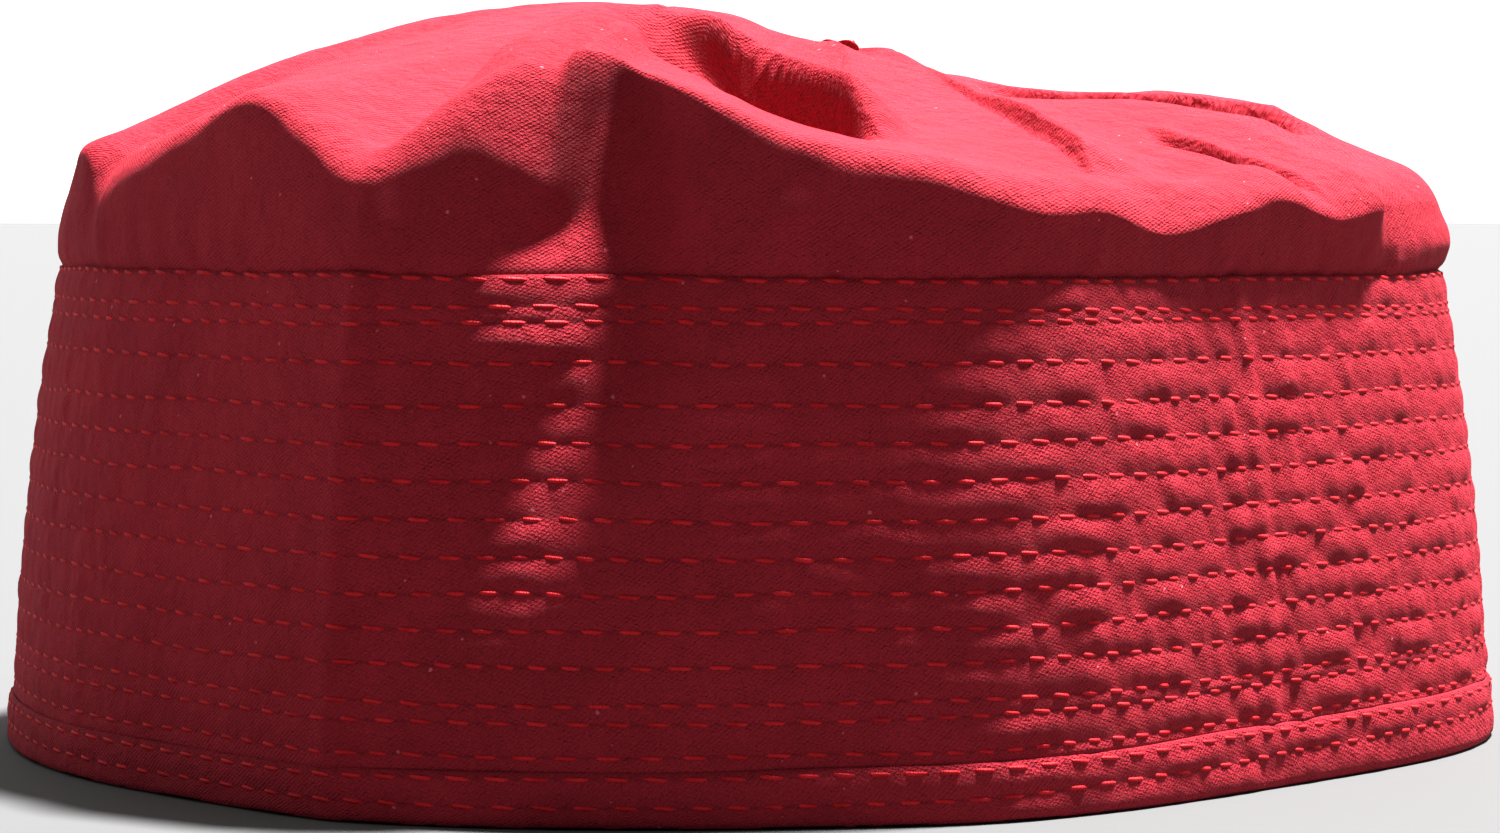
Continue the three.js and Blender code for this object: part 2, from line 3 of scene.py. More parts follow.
import bpy
import numpy as np
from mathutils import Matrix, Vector


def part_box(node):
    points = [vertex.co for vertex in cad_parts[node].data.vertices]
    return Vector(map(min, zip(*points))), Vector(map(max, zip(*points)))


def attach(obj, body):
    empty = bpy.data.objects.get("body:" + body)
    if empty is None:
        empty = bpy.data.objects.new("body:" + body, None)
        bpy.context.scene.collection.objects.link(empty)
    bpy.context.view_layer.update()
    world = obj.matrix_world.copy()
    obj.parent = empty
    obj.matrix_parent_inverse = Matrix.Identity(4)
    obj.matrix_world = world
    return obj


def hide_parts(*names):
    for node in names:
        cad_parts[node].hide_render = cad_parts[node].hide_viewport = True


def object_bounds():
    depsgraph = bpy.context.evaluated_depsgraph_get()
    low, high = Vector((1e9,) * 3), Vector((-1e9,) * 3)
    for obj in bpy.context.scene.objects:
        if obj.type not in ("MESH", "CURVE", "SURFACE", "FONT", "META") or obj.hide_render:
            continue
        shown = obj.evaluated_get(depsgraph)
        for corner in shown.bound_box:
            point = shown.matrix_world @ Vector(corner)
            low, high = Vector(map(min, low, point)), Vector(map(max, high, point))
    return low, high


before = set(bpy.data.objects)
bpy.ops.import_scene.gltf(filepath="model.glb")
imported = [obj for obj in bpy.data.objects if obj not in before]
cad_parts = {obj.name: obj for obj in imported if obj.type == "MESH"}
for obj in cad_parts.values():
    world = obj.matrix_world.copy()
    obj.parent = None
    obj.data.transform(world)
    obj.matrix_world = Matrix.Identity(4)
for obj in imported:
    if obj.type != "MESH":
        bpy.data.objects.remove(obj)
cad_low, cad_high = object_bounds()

# A red cotton kufi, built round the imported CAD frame: a quilted band with a bound lower edge,
# and a slack crown of three gores whose tips are twisted into a small knot.
#
# Dimensions are millimetres until a mesh is made. Azimuths are degrees round the cap from its
# front, growing towards +X. The plan, the sections and the folds are the CAD part's, with the folds
# at their full steepness. Added here is what the CAD solids leave out: quilting, puckers, seams,
# stitches, wrinkles and weave.

MM = 0.001
rng = np.random.default_rng(7)
scene = bpy.context.scene

# ---- Dimensions ----

RIM_RADIUS = 94.6  # outside of the band at its lower edge
BAND_TOP_RADIUS = 88.3
BAND_BULGE = 1.1  # swelling of the band halfway up
PLAN_SHARE = 0.97  # length of the dented plan as a share of the circle's
BAND_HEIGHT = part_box("band")[1].z / MM
BAND_WALL = 2.6
BAND_CLOTH = 0.9  # its outer layer
LIP = 0.5  # cloth of the band above its first row of stitching

KNOT = sum(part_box("crown_knot"), Vector()) / 2 / MM
KNOT.z = 87  # where the gore tips meet
KNOT_RADIUS = 2.3
GAP = 0.3  # between the gore tips and the knot

CROWN_CLOTH = 0.9
WALL_INSET = 0.1  # of the crown's cloth just above the band
SEAM_GAP = 0.1  # between the band's lip and the crown
SKIRT_DEPTH = 3.5  # seam allowance of the crown, tucked down behind the band's top edge
SKIRT_INSET = 1.4
STEEPEST_WALL = 0.4  # least cosine of slope that the cloth's thickness is corrected for

HEM_PROUD = 0.6  # how far the hem stands out from the band
HEM_CLOTH = 0.8
HEM_LIP = 0.8  # cloth of the hem above its upper row of stitching

# The plan is a circle with these dents, each with its depth inwards and the angle that it
# fades out over on either side.
PLAN_DENTS = [
    dict(name="flat at the front right", azimuth=47, depth=9, spread=42),
    dict(name="hollow right of the middle", azimuth=7, depth=1.2, spread=12),
    dict(name="soft corner at the front left", azimuth=-24, depth=-3.5, spread=24),
    dict(name="flat at the back left", azimuth=-140, depth=2.5, spread=40),
]

# A dent in the band, left of the middle. It deepens up the band and wanders to the right.
HOLLOW = dict(depth=6, start=-21, full=-12, fading=-9.5, end=-4, low=12, high=62)
HOLLOW_WANDER = 0.3  # degrees a millimetre
HOLLOW_LEVEL = 48  # height at which it has those azimuths
HOLLOW_STRAIGHT = 52  # height from which it goes straight up

# An upright edge where the front turns to the left side.
CORNER = dict(azimuth=-28, rise=1.1, spread=11)

# Above the hollow, under the left flank of the peak, the crown's wall is pushed in by a share of
# its height up to a depth. The push fades out over the top.
TUCK = dict(depth=4.2, share=0.5, start=-21, full=-12, fading=-11.5, end=-5)
TUCK_END = 0.6  # reach at which it is gone

# The peak leans to the left between two reaches, by a turn in degrees.
SWAY = dict(turn=2, azimuth=-12, spread=6, low=0.12, high=0.25)

# Seams of the crown, and the gores between them with their steps across and up. The rows of a
# gore stand closer by a factor, crowd, round the roll at its edge and the pocket behind it.
GORES = [
    dict(name="crown_gore_front", start=-65.5, end=65, steps=320, climb=150, crowd=3.5),
    dict(name="crown_gore_right", start=65, end=174, steps=200, climb=110, crowd=1),
    dict(name="crown_gore_left", start=174, end=294.5, steps=200, climb=110, crowd=1),
]
BAND_SEAM = 174

# A row for each section from the band's top edge up to the knot. waist and lean are how far the
# wall stands in from the band low down and at its shoulder, shoulder is a height, roll and climb
# are how far in and up the cloth goes as it turns onto the top, and outer and inner are heights
# of the top.
SECTION_COLUMNS = ("azimuth", "waist", "lean", "shoulder", "roll", "climb", "outer", "inner")
SECTIONS = [
    (-165, 0.5, 2.5, 65.5, 6, 6, 79, 84.5),
    (-145, 0, 1.5, 70, 6, 6, 81.5, 86.5),
    (-125, 0.5, 2.5, 68, 6, 6, 83, 88.5),
    (-105, 0.3, 3, 69.5, 6, 6, 86.3, 91.2),
    (-86, 0.2, 2.8, 70, 5, 5.5, 87.6, 92.7),
    (-68, -0.2, 0.8, 71.5, 4, 4.5, 87.2, 92.8),
    (-63.5, 0, 1, 66.8, 5, 7, 86, 92.6),
    (-56, 0, 0.5, 69.6, 5, 6, 85.4, 92.3),
    (-48, 0, 0.8, 73.2, 5, 5.5, 85.5, 92),
    (-40.5, 0, 1, 76.3, 4, 4, 86, 92),
    (-35, 0, 1, 73.4, 5, 5, 86, 91.8),
    (-29, 0, 1, 69.3, 6, 6, 86, 91.5),
    (-23.5, 0.4, 1.5, 71.2, 6, 8, 88, 91),
    (-20.2, 0.7, 1.5, 72.3, 6, 9.5, 89.5, 90.5),
    (-17.4, 0.8, 0.8, 71, 6, 12, 90, 89.8),
    (-14.6, 0.6, 0.6, 69.8, 5, 12.9, 90, 89.6),
    (-12.8, 0.4, 1.3, 80.5, 3.9, 4.3, 89.5, 89.3),
    (-7.5, 0.7, 1.8, 78.6, 3.5, 3.5, 85, 88.3),
    (-3.5, 0.7, 1.6, 75.9, 3.5, 3.5, 80.5, 87.3),
    (1, 0, 0.8, 72.8, 3.5, 3.5, 78.6, 86.3),
    (7, -0.2, 0.2, 70.2, 4, 4, 77.6, 85.5),
    (14, -0.3, -0.4, 68.5, 4, 4, 76.3, 84.3),
    (22, -0.4, -0.8, 65.9, 5, 4.5, 75.2, 83),
    (28, -0.3, -0.7, 66.2, 5, 4, 74.8, 82.3),
    (35, -0.3, -0.7, 63.8, 5, 5.5, 74.5, 81.7),
    (44, -0.8, -1.7, 66.2, 5, 4, 75.5, 81.6),
    (49.5, -0.8, -1.7, 67.6, 5, 4, 76.5, 81.8),
    (57, -0.8, -1.7, 65.3, 5, 5.5, 78, 82.1),
    (63.5, -0.8, -1.6, 66.6, 5, 5.5, 79.3, 82.4),
    (67, -0.3, 0.4, 67, 5, 5, 79.8, 82.6),
    (90, -1, 0.5, 67, 5, 5.5, 80.3, 82.3),
    (115, -0.5, 2.5, 66.5, 6, 6, 81, 82.8),
    (135, 0, 1.5, 69, 6, 6, 80, 83),
    (155, 0.5, 2.5, 65, 6, 6, 78, 83),
    (175, 0, 1.5, 68.5, 6, 6, 79.5, 84),
]
CREST_REACH = 0.25
REACH = (0, 0.05, 0.15, CREST_REACH, 0.5, 0.77, 1)  # of a section's points, from band to knot
SHOULDER = (2, 3)  # the points on either side of the turn onto the top
WAIST_SHARE = 0.45  # of the way up to the shoulder
OUTER_SHARE = 0.3  # of the way in from the crest to the knot
INNER_SHARE = 0.66
FOLD_START = 0.12  # reach from which folds have their full rise

# A fold runs from start to end in plan. left and right are its widths on either side of that
# way, sharp is 1 for a sharp crest and 0 for a soft one, and fade_in and fade_out are the shares
# of its length that it rises and sinks over.
FOLD_COLUMNS = ("start", "end", "rise", "left", "right", "sharp", "fade_in", "fade_out")
FOLDS = {
    "pocket": ((-17, -58.5), (15, -72), -5, 4.5, 5, 0.3, 0.3, 0.25),
    "step behind the pocket": ((-13, -53.5), (16, -70), 6.5, 15, 2.1, 0, 0.35, 0.2),
    "ridge to the knot": ((8, -40), (12, -6), 0.8, 5, 5, 0.8, 0.4, 0.3),
    "edge of the front facet": ((14, -6), (39, -70), 2.2, 3, 20, 0.9, 0.3, 0.2),
    "step behind the facet": ((19, -18), (40, -68), 4.2, 15, 1.5, 0, 0.75, 0.15),
    "dimple at the right": ((46, -33), (69, -46), -4.5, 1.6, 6, 0.1, 0.4, 0.45),
    "crease behind the right roll": ((34, -71), (61, -41), -1, 9, 4, 0.5, 0.3, 0.3),
    "kink at the right": ((61, -34), (71, 16), 1.3, 8, 9, 0.6, 0.35, 0.4),
    "valley to the right": ((26, -9), (72, -16), -4.5, 1.8, 9, 0.1, 0.3, 0.2),
    "ridge behind that valley": ((28, -2), (70, -7), 0.4, 8, 5, 0.5, 0.3, 0.3),
    "shelf beside the knot": ((14, 16), (21, -16), 1.6, 6, 7, 0.3, 0.35, 0.35),
    "ridge to the left": ((-82, -42), (-36, -36), 1, 6, 14, 0.8, 0.1, 0.5),
    "trough at the front left": ((-44, -80), (-16, -30), -3, 14, 9, 0.2, 0.2, 0.5),
    "flank of the peak": ((-33, -78), (-14, -42), 2, 6, 12, 0.8, 0.3, 0.5),
    "valley at the back right": ((38, 72), (17, 16), -4, 14, 10, 0.3, 0.2, 0.4),
    "ridge at the back": ((10, 84), (8, 18), 2, 8, 16, 0.7, 0.2, 0.4),
    "valley at the back left": ((-62, 58), (-10, 20), -4, 12, 16, 0.3, 0.2, 0.4),
}

# Heights of the rows of topstitching at three azimuths, from the top row down.
ROW_COLUMNS = (-50, 0, 66)
BACK_START = 140  # azimuth on either side behind which the rows are level
STITCH_ROWS = [
    (59.5, 59, 58.5), (56, 56, 55), (54, 54.5, 54), (50, 50, 49.5), (45, 45.5, 45),
    (41, 41.3, 41), (37.2, 37.2, 37), (33, 33, 32.7), (29, 29, 29), (24.8, 25.2, 25.2),
    (21, 21.3, 21.3), (17.2, 17.5, 17.5), (13.2, 13.4, 13.5), (11.2, 11.5, 12.3),
    (7.7, 7.8, 8.6), (5.2, 5.6, 7), (2.6, 2.5, 4.4),
]
HEM_ROWS = 2  # the lowest of them, which hold the hem
ROW_WAVER = 0.07
STITCH_PITCH = 3.9
STITCH_DRIFT = 0.2  # of the stitches along a row, in stitches
STITCH_SINK = 0.2  # how deep the rows lie in the quilting
STITCH_TUG = 0.012  # how much deeper the cloth lies at each hole
TUG_REACH = 0.8  # distance from the row that this fades over

PUFF = 0.2  # rise of the quilting between rows a full channel apart
FULL_CHANNEL = 4.2
LOWEST_CHANNEL = 2.5  # width of the channel between the last row and the hem's edge
FINE_PUCKER = 0.078  # comes in patches
PATCHINESS = 1.2
DOME_SHIFT = 0.18  # how far those patches push the top of the quilting up or down its channel
STREAK_PUCKER = 0.065  # runs across all the channels
SLOW_PUCKER = 0.13
BAND_SWAY = 0.12

# Puckers are strongest at the right of the front, and lightest in the middle of it.
PUCKER_AZIMUTHS = (-150, -80, -35, 0, 25, 45, 75, 130)
PUCKER_SIZES = (0.8, 0.7, 0.5, 0.45, 0.7, 0.92, 0.85, 0.75)

# Creases pressed into the band, each with its azimuth, its rise, and its width in degrees.
PRESSED_CREASES = [
    (-28.4, 0.45, 4), (-26.3, -0.3, 2.2), (44.5, 0.35, 3), (46.5, -0.2, 1.5), (48.5, 0.25, 2),
    (BAND_SEAM, -0.55, 1.2),
]

# ---- Small maths ----


def smoothstep(x, low=0.0, high=1.0):
    t = np.clip((x - low) / (high - low), 0, 1)
    return t * t * (3 - 2 * t)


def wrapped(azimuth):
    return (azimuth + 180) % 360 - 180


def unit(vectors):
    return vectors / np.maximum(np.linalg.norm(vectors, axis=-1, keepdims=True), 1e-12)


def curve_through(knots, values, x, corner=(-1, -1)):
    """The smooth curve through values at knots, at x. values may have a column for each x. The
    curve runs straight up to the first knot of a corner and straight on from its second."""
    knots = np.asarray(knots, float)
    values = np.asarray(values, float)
    last = len(knots) - 1
    i = np.clip(np.searchsorted(knots, x, side="right") - 1, 0, last - 1)

    def pick(k):
        return values[k] if values.ndim == 1 else values[k, np.arange(len(k))]

    def slope(k):
        after = np.where(k == corner[0], k, np.minimum(k + 1, last))
        before = np.where(k == corner[1], k, np.maximum(k - 1, 0))
        return (pick(after) - pick(before)) / (knots[after] - knots[before])

    width = knots[i + 1] - knots[i]
    t = (x - knots[i]) / width
    return ((2 * t**3 - 3 * t**2 + 1) * pick(i) + (t**3 - 2 * t**2 + t) * width * slope(i)
            + (3 * t**2 - 2 * t**3) * pick(i + 1) + (t**3 - t**2) * width * slope(i + 1))


def round_curve(knots, values, azimuth):
    """A curve through values at azimuths, smooth all the way round."""
    around = np.concatenate([np.add(knots, turn) for turn in (-360, 0, 360)])
    return curve_through(around, np.tile(values, 3), wrapped(azimuth))


class Ripple:
    """Random waves round the cap, with periods between two lengths in mm and a spread of 1."""

    def __init__(self, shortest, longest, waves=24):
        girth = np.pi * 2 * 92
        self.count = rng.integers(round(girth / longest), round(girth / shortest) + 1, waves)
        self.phase = rng.uniform(0, 2 * np.pi, waves)
        self.size = rng.uniform(0.5, 1, waves)
        self.size *= math.sqrt(2) / np.linalg.norm(self.size)

    def __call__(self, azimuth):
        angle = np.radians(azimuth)
        total = np.zeros_like(angle)
        for count, phase, size in zip(self.count, self.phase, self.size):
            total += size * np.sin(count * angle + phase)
        return total


class Rumple:
    """Random waves over space, with periods between two lengths in mm and a spread of 1."""

    def __init__(self, shortest, longest, waves=24):
        direction = unit(rng.normal(size=(waves, 3)))
        length = rng.uniform(shortest, longest, waves)
        self.wave = 2 * np.pi * direction / length[:, None]
        self.phase = rng.uniform(0, 2 * np.pi, waves)
        self.size = math.sqrt(2 / waves)

    def __call__(self, points):
        total = np.zeros(len(points))
        for wave, phase in zip(self.wave, self.phase):
            total += np.sin(points @ wave + phase)
        return total * self.size


# ---- The cap's plan and the band's outside ----


def plan_scale(azimuth):
    scale = np.ones_like(azimuth)
    for dent in PLAN_DENTS:
        off = np.clip(wrapped(azimuth - dent["azimuth"]) / dent["spread"], -1, 1)
        scale -= dent["depth"] / RIM_RADIUS * (1 + np.cos(np.pi * off)) / 2
    return scale


def crease(azimuth, middle, width):
    """The section of an upright crease, 1 on its line."""
    return (1 - np.clip(np.abs(wrapped(azimuth - middle)) / width, 0, 1)) ** 2


def hollow(azimuth, z):
    turn = wrapped(azimuth) + HOLLOW_WANDER * (HOLLOW_LEVEL - np.minimum(z, HOLLOW_STRAIGHT))
    left = smoothstep(turn, HOLLOW["start"], HOLLOW["full"])
    right = 1 - smoothstep(turn, HOLLOW["fading"], HOLLOW["end"])
    return -HOLLOW["depth"] * left * right * smoothstep(z, HOLLOW["low"], HOLLOW["high"])


def corner(azimuth):
    return CORNER["rise"] * crease(azimuth, CORNER["azimuth"], CORNER["spread"])


def tuck(azimuth, height):
    """How far the crown's wall is pushed in at a height above the band."""
    turn = wrapped(azimuth)
    left = np.clip((turn - TUCK["start"]) / (TUCK["full"] - TUCK["start"]), 0, 1)
    right = 1 - smoothstep(turn, TUCK["fading"], TUCK["end"])
    return np.clip(TUCK["share"] * height, 0, TUCK["depth"] * left) * right


def ring_point(azimuth, z, offset):
    """A point on the band's plain outside at a height, pushed out by an offset."""
    angle = np.radians(azimuth)
    share = z / BAND_HEIGHT
    radius = RIM_RADIUS + (BAND_TOP_RADIUS - RIM_RADIUS) * share + 4 * BAND_BULGE * share * (1 - share)
    radius = radius * plan_scale(azimuth) + offset + hollow(azimuth, z) + corner(azimuth)
    return np.stack([radius * np.sin(angle), -radius * np.cos(angle), z + 0 * angle], -1)


row_waver = [Ripple(25, 120) for _ in STITCH_ROWS]


def row_height(row, azimuth):
    left, front, right = STITCH_ROWS[row]
    back = (left + right) / 2
    knots = [-BACK_START, *ROW_COLUMNS, BACK_START]
    height = round_curve(knots, [back, left, front, right, back], azimuth)
    return height + ROW_WAVER * row_waver[row](azimuth)


row_start = rng.uniform(0, 1, len(STITCH_ROWS))
row_drift = [Ripple(60, 200) for _ in STITCH_ROWS]


def stitch_count(row, azimuth):
    """How many stitches a row has made by this azimuth, counted from the band's seam."""
    height = STITCH_ROWS[row][1]
    radius = RIM_RADIUS + (BAND_TOP_RADIUS - RIM_RADIUS) * height / BAND_HEIGHT
    whole = round(2 * math.pi * radius * PLAN_SHARE / STITCH_PITCH)
    return azimuth / 360 * whole + row_start[row] + STITCH_DRIFT * row_drift[row](azimuth)


# ---- Quilting ----

channel_pucker = [Ripple(2.4, 9) for _ in range(len(STITCH_ROWS) + 1)]
streak_pucker = Ripple(4, 14)
pucker_patch = [Ripple(8, 30) for _ in range(len(STITCH_ROWS) + 1)]
slow_pucker = [Ripple(12, 40) for _ in range(len(STITCH_ROWS) + 1)]
band_sway = Ripple(30, 120, 12)


def quilt(azimuth, row):
    """Relief of the quilted cloth. row counts down the band, whole numbers on the stitching."""
    row = np.clip(row + 0 * azimuth, 0, len(STITCH_ROWS) - 1e-6)
    k = np.floor(row).astype(int)
    t = row - k
    relief = np.full(azimuth.shape, -STITCH_SINK)
    near = np.where(t < 0.5, k, k + 1)
    for channel in np.unique(k):
        at = k == channel
        a, s = azimuth[at], t[at]
        below = min(channel + 1, len(STITCH_ROWS) - 1)
        width = row_height(channel, a) - row_height(below, a)
        if channel == below:
            width = np.full(a.shape, LOWEST_CHANNEL)
        share = np.clip(width / FULL_CHANNEL, 0.05, 1.15)
        mound = 0.5 + 0.5 * np.tanh(PATCHINESS * pucker_patch[channel](a))
        pucker = FINE_PUCKER * channel_pucker[channel](a) * mound
        pucker += STREAK_PUCKER * streak_pucker(a) + SLOW_PUCKER * slow_pucker[channel](a)
        shift = DOME_SHIFT * pucker_patch[channel](a)
        dome = np.sin(np.pi * np.clip(s + shift * s * (1 - s), 0, 1)) ** 0.9
        size = round_curve(PUCKER_AZIMUTHS, PUCKER_SIZES, a)
        relief[at] += dome * share * (PUFF + pucker * size)
    for row_number in np.unique(near):
        if row_number >= len(STITCH_ROWS):
            continue
        at = near == row_number
        a = azimuth[at]
        distance = np.abs(row[at] - row_number) * FULL_CHANNEL
        tug = np.cos(2 * np.pi * stitch_count(row_number, a))
        relief[at] -= STITCH_TUG * tug * np.exp(-(distance / TUG_REACH) ** 2)
    return relief


def band_face(azimuth, row):
    relief = quilt(azimuth, row) + BAND_SWAY * band_sway(azimuth)
    for middle, rise, width in PRESSED_CREASES:
        relief += rise * crease(azimuth, middle, width)
    return relief


# ---- The crown's outer surface ----


def swayed(azimuth, reach):
    """The azimuth of the section that stands here."""
    near = np.exp(-((azimuth - SWAY["azimuth"]) / SWAY["spread"]) ** 2)
    return azimuth + SWAY["turn"] * smoothstep(reach, SWAY["low"], SWAY["high"]) * near


def smooth_crown_point(azimuth, reach):
    """The crown's outside before folding, from the band's top at reach 0 to the knot at 1."""
    table = dict(zip(SECTION_COLUMNS, np.array(SECTIONS, float).T))
    standing = table.pop("azimuth")
    section = swayed(azimuth, reach)
    at = {column: round_curve(standing, values, section) for column, values in table.items()}
    foot = ring_point(azimuth, BAND_HEIGHT, 0)
    span = np.hypot(foot[:, 0] - KNOT.x, foot[:, 1] - KNOT.y)
    crest = at["lean"] + at["roll"]
    inwards = np.stack([
        np.full_like(azimuth, WALL_INSET),
        at["waist"],
        at["lean"],
        crest,
        crest + (span - crest) * OUTER_SHARE,
        crest + (span - crest) * INNER_SHARE,
        span - KNOT_RADIUS - GAP,
    ])
    heights = np.stack([
        row_height(0, azimuth) + LIP + SEAM_GAP,
        BAND_HEIGHT + (at["shoulder"] - BAND_HEIGHT) * WAIST_SHARE,
        at["shoulder"],
        at["shoulder"] + at["climb"],
        at["outer"],
        at["inner"],
        np.full_like(azimuth, KNOT.z),
    ])
    height = curve_through(REACH, heights, reach, SHOULDER)
    inward = curve_through(REACH, inwards, reach, SHOULDER)
    inward += tuck(azimuth, height - BAND_HEIGHT) * (1 - smoothstep(reach, CREST_REACH, TUCK_END))
    centre = np.array([KNOT.x, KNOT.y])
    plan = foot[:, :2] + (centre - foot[:, :2]) * (inward / span)[:, None]
    return np.column_stack([plan, height])


def surface_normal(surface, azimuth, reach, turn=0.5, climb=0.004):
    low, high = np.maximum(reach - climb, 0), np.minimum(reach + climb, 1)
    across = surface(azimuth + turn, reach) - surface(azimuth - turn, reach)
    up = surface(azimuth, high) - surface(azimuth, low)
    return unit(np.cross(across, up))


def fold_direction(azimuth, reach):
    """Folds push the wall along its normal, and the top straight up."""
    normal = surface_normal(smooth_crown_point, azimuth, reach)
    upright = smoothstep(reach, FOLD_START, CREST_REACH)[:, None]
    return unit(normal + (np.array([0, 0, 1]) - normal) * upright)


def fold_rise(points, reach):
    rise = np.zeros(len(points))
    for row in FOLDS.values():
        fold = dict(zip(FOLD_COLUMNS, row))
        along = np.subtract(fold["end"], fold["start"]).astype(float)
        length = np.linalg.norm(along)
        along /= length
        offset = points[:, :2] - fold["start"]
        share = offset @ along / length
        side = offset[:, 0] * along[1] - offset[:, 1] * along[0]
        x = np.clip(np.abs(side) / np.where(side < 0, fold["left"], fold["right"]), 0, 1)
        section = fold["sharp"] * (1 - x) ** 2 + (1 - fold["sharp"]) * (1 - smoothstep(x))
        ends = smoothstep(share, 0, fold["fade_in"]) * smoothstep(1 - share, 0, fold["fade_out"])
        rise += fold["rise"] * section * ends
    return rise * smoothstep(reach, 0, FOLD_START)


WRINKLE = 0.2
FINE_WRINKLE = 0.06
GATHER = 0.05
GATHER_END = 0.12  # reach at which the gathers have faded
SEAM_ROLL = 0.45  # how far the cloth turns in where it meets the band
SEAM_ROLL_END = 0.012  # reach over which it does
PLEATS = 9  # at the knot
PLEAT = 0.3
PLEAT_LENGTH = 5
PLEAT_UNEVENNESS = 0.6
KNOT_EDGE = 3

wrinkles = Rumple(14, 40)
fine_wrinkles = Rumple(5, 12)
gathers = Ripple(4, 12)
pleat_phase = rng.uniform(0, 2 * np.pi)


def crown_detail(azimuth, reach, points):
    """Gathers above the band, soft wrinkles over the top, and pleats that run into the knot."""
    relief = WRINKLE * wrinkles(points) * smoothstep(reach, 0.1, CREST_REACH)
    relief += FINE_WRINKLE * fine_wrinkles(points)
    relief += GATHER * gathers(azimuth) * (1 - smoothstep(reach, 0, GATHER_END))
    relief -= SEAM_ROLL * (1 - smoothstep(reach, 0, SEAM_ROLL_END))
    distance = np.hypot(points[:, 0] - KNOT.x, points[:, 1] - KNOT.y)
    around = np.arctan2(points[:, 1] - KNOT.y, points[:, 0] - KNOT.x)
    pleat = np.sin(PLEATS * around + pleat_phase + PLEAT_UNEVENNESS * np.sin(2 * around))
    pleat *= PLEAT * np.exp(-((distance - KNOT_EDGE) / PLEAT_LENGTH) ** 2)
    return (relief + pleat) * smoothstep(distance, KNOT_EDGE / 2, PLEAT_LENGTH)


def crown_point(azimuth, reach):
    point = smooth_crown_point(azimuth, reach)
    rise = fold_rise(point, reach) + crown_detail(azimuth, reach, point)
    return point + fold_direction(azimuth, reach) * rise[:, None]


# ---- Meshes ----


def placed(name, data):
    """A new object in the scene."""
    thing = bpy.data.objects.new(name, data)
    scene.collection.objects.link(thing)
    return thing


def mesh_object(name, points, faces, maps):
    """A smooth mesh in metres from points in mm. faces is a list of arrays with a row of corners
    for each face, and maps holds a UV for each of those corners in turn."""
    mesh = bpy.data.meshes.new(name)
    mesh.vertices.add(len(points))
    mesh.vertices.foreach_set("co", (np.asarray(points) * MM).astype(np.float32).ravel())
    corners = np.concatenate([face.ravel() for face in faces]).astype(np.int32)
    sizes = np.concatenate([np.full(len(face), face.shape[1]) for face in faces])
    mesh.loops.add(len(corners))
    mesh.loops.foreach_set("vertex_index", corners)
    mesh.polygons.add(len(sizes))
    starts = np.concatenate([[0], np.cumsum(sizes)[:-1]]).astype(np.int32)
    mesh.polygons.foreach_set("loop_start", starts)
    mesh.polygons.foreach_set("use_smooth", np.ones(len(sizes), bool))
    for label, uv in maps.items():
        mesh.uv_layers.new(name=label).data.foreach_set("uv", uv.astype(np.float32).ravel())
    mesh.update(calc_edges=True)
    mesh.validate()
    piece = placed(name, mesh)
    piece.cycles.shadow_terminator_geometry_offset = 1
    piece.cycles.shadow_terminator_offset = 0.15
    return piece


def travelled(points):
    """How far along its row each point is."""
    steps = np.linalg.norm(np.diff(points, axis=1), axis=-1)
    return np.concatenate([np.zeros((len(points), 1)), np.cumsum(steps, 1)], 1)


def lattice(columns, rows, around=False, looped=False):
    """The (column, row) of each corner of each quad in a grid, counting on past a closed side."""
    i, k = np.meshgrid(np.arange(columns - (not around)), np.arange(rows - (not looped)), indexing="ij")
    corners = [(i, k), (i + 1, k), (i + 1, k + 1), (i, k + 1)]
    return np.stack([np.stack(corner, -1) for corner in corners], -2).reshape(-1, 4, 2)


def ring_solid(name, sections, maps):
    """A closed ring. sections has, for each column round the cap, the points round its section,
    and each map has one more column and row than that, to carry on past the ends."""
    columns, rows = sections.shape[:2]
    corners = lattice(columns, rows, around=True, looped=True)
    column, row = corners[..., 0], corners[..., 1]
    quads = column % columns * rows + row % rows
    uvs = {label: uv[column, row].reshape(-1, 2) for label, uv in maps.items()}
    return mesh_object(name, sections.reshape(-1, 3), [quads], uvs)


def sheet_solid(name, outer, inner, maps):
    """Cloth from two grids of points of the same size, joined along all four edges."""
    columns, rows = outer.shape[:2]
    corners = lattice(columns, rows)
    column, row = corners[..., 0], corners[..., 1]
    face = column * rows + row
    under = columns * rows
    quads = [face, under + face[:, ::-1]]
    places = [corners, corners[:, ::-1]]
    edge_i, edge_k = np.arange(columns), np.arange(rows)
    rims = [(edge_i, 0 * edge_i, True), (edge_i, 0 * edge_i + rows - 1, False),
            (0 * edge_k, edge_k, False), (0 * edge_k + columns - 1, edge_k, True)]
    for rim_i, rim_k, turned in rims:
        place = np.stack([rim_i, rim_k], -1)
        near, far = place[:-1], place[1:]
        quad = np.stack([near, far, far, near], 1)
        index = quad[..., 0] * rows + quad[..., 1] + np.array([0, 0, under, under])
        quads.append(index[:, ::-1] if turned else index)
        places.append(quad[:, ::-1] if turned else quad)
    place = np.concatenate(places)
    uvs = {label: uv[place[..., 0], place[..., 1]].reshape(-1, 2) for label, uv in maps.items()}
    points = np.concatenate([outer.reshape(-1, 3), inner.reshape(-1, 3)])
    return mesh_object(name, points, [np.concatenate(quads)], uvs)


# ---- The band and its hem ----

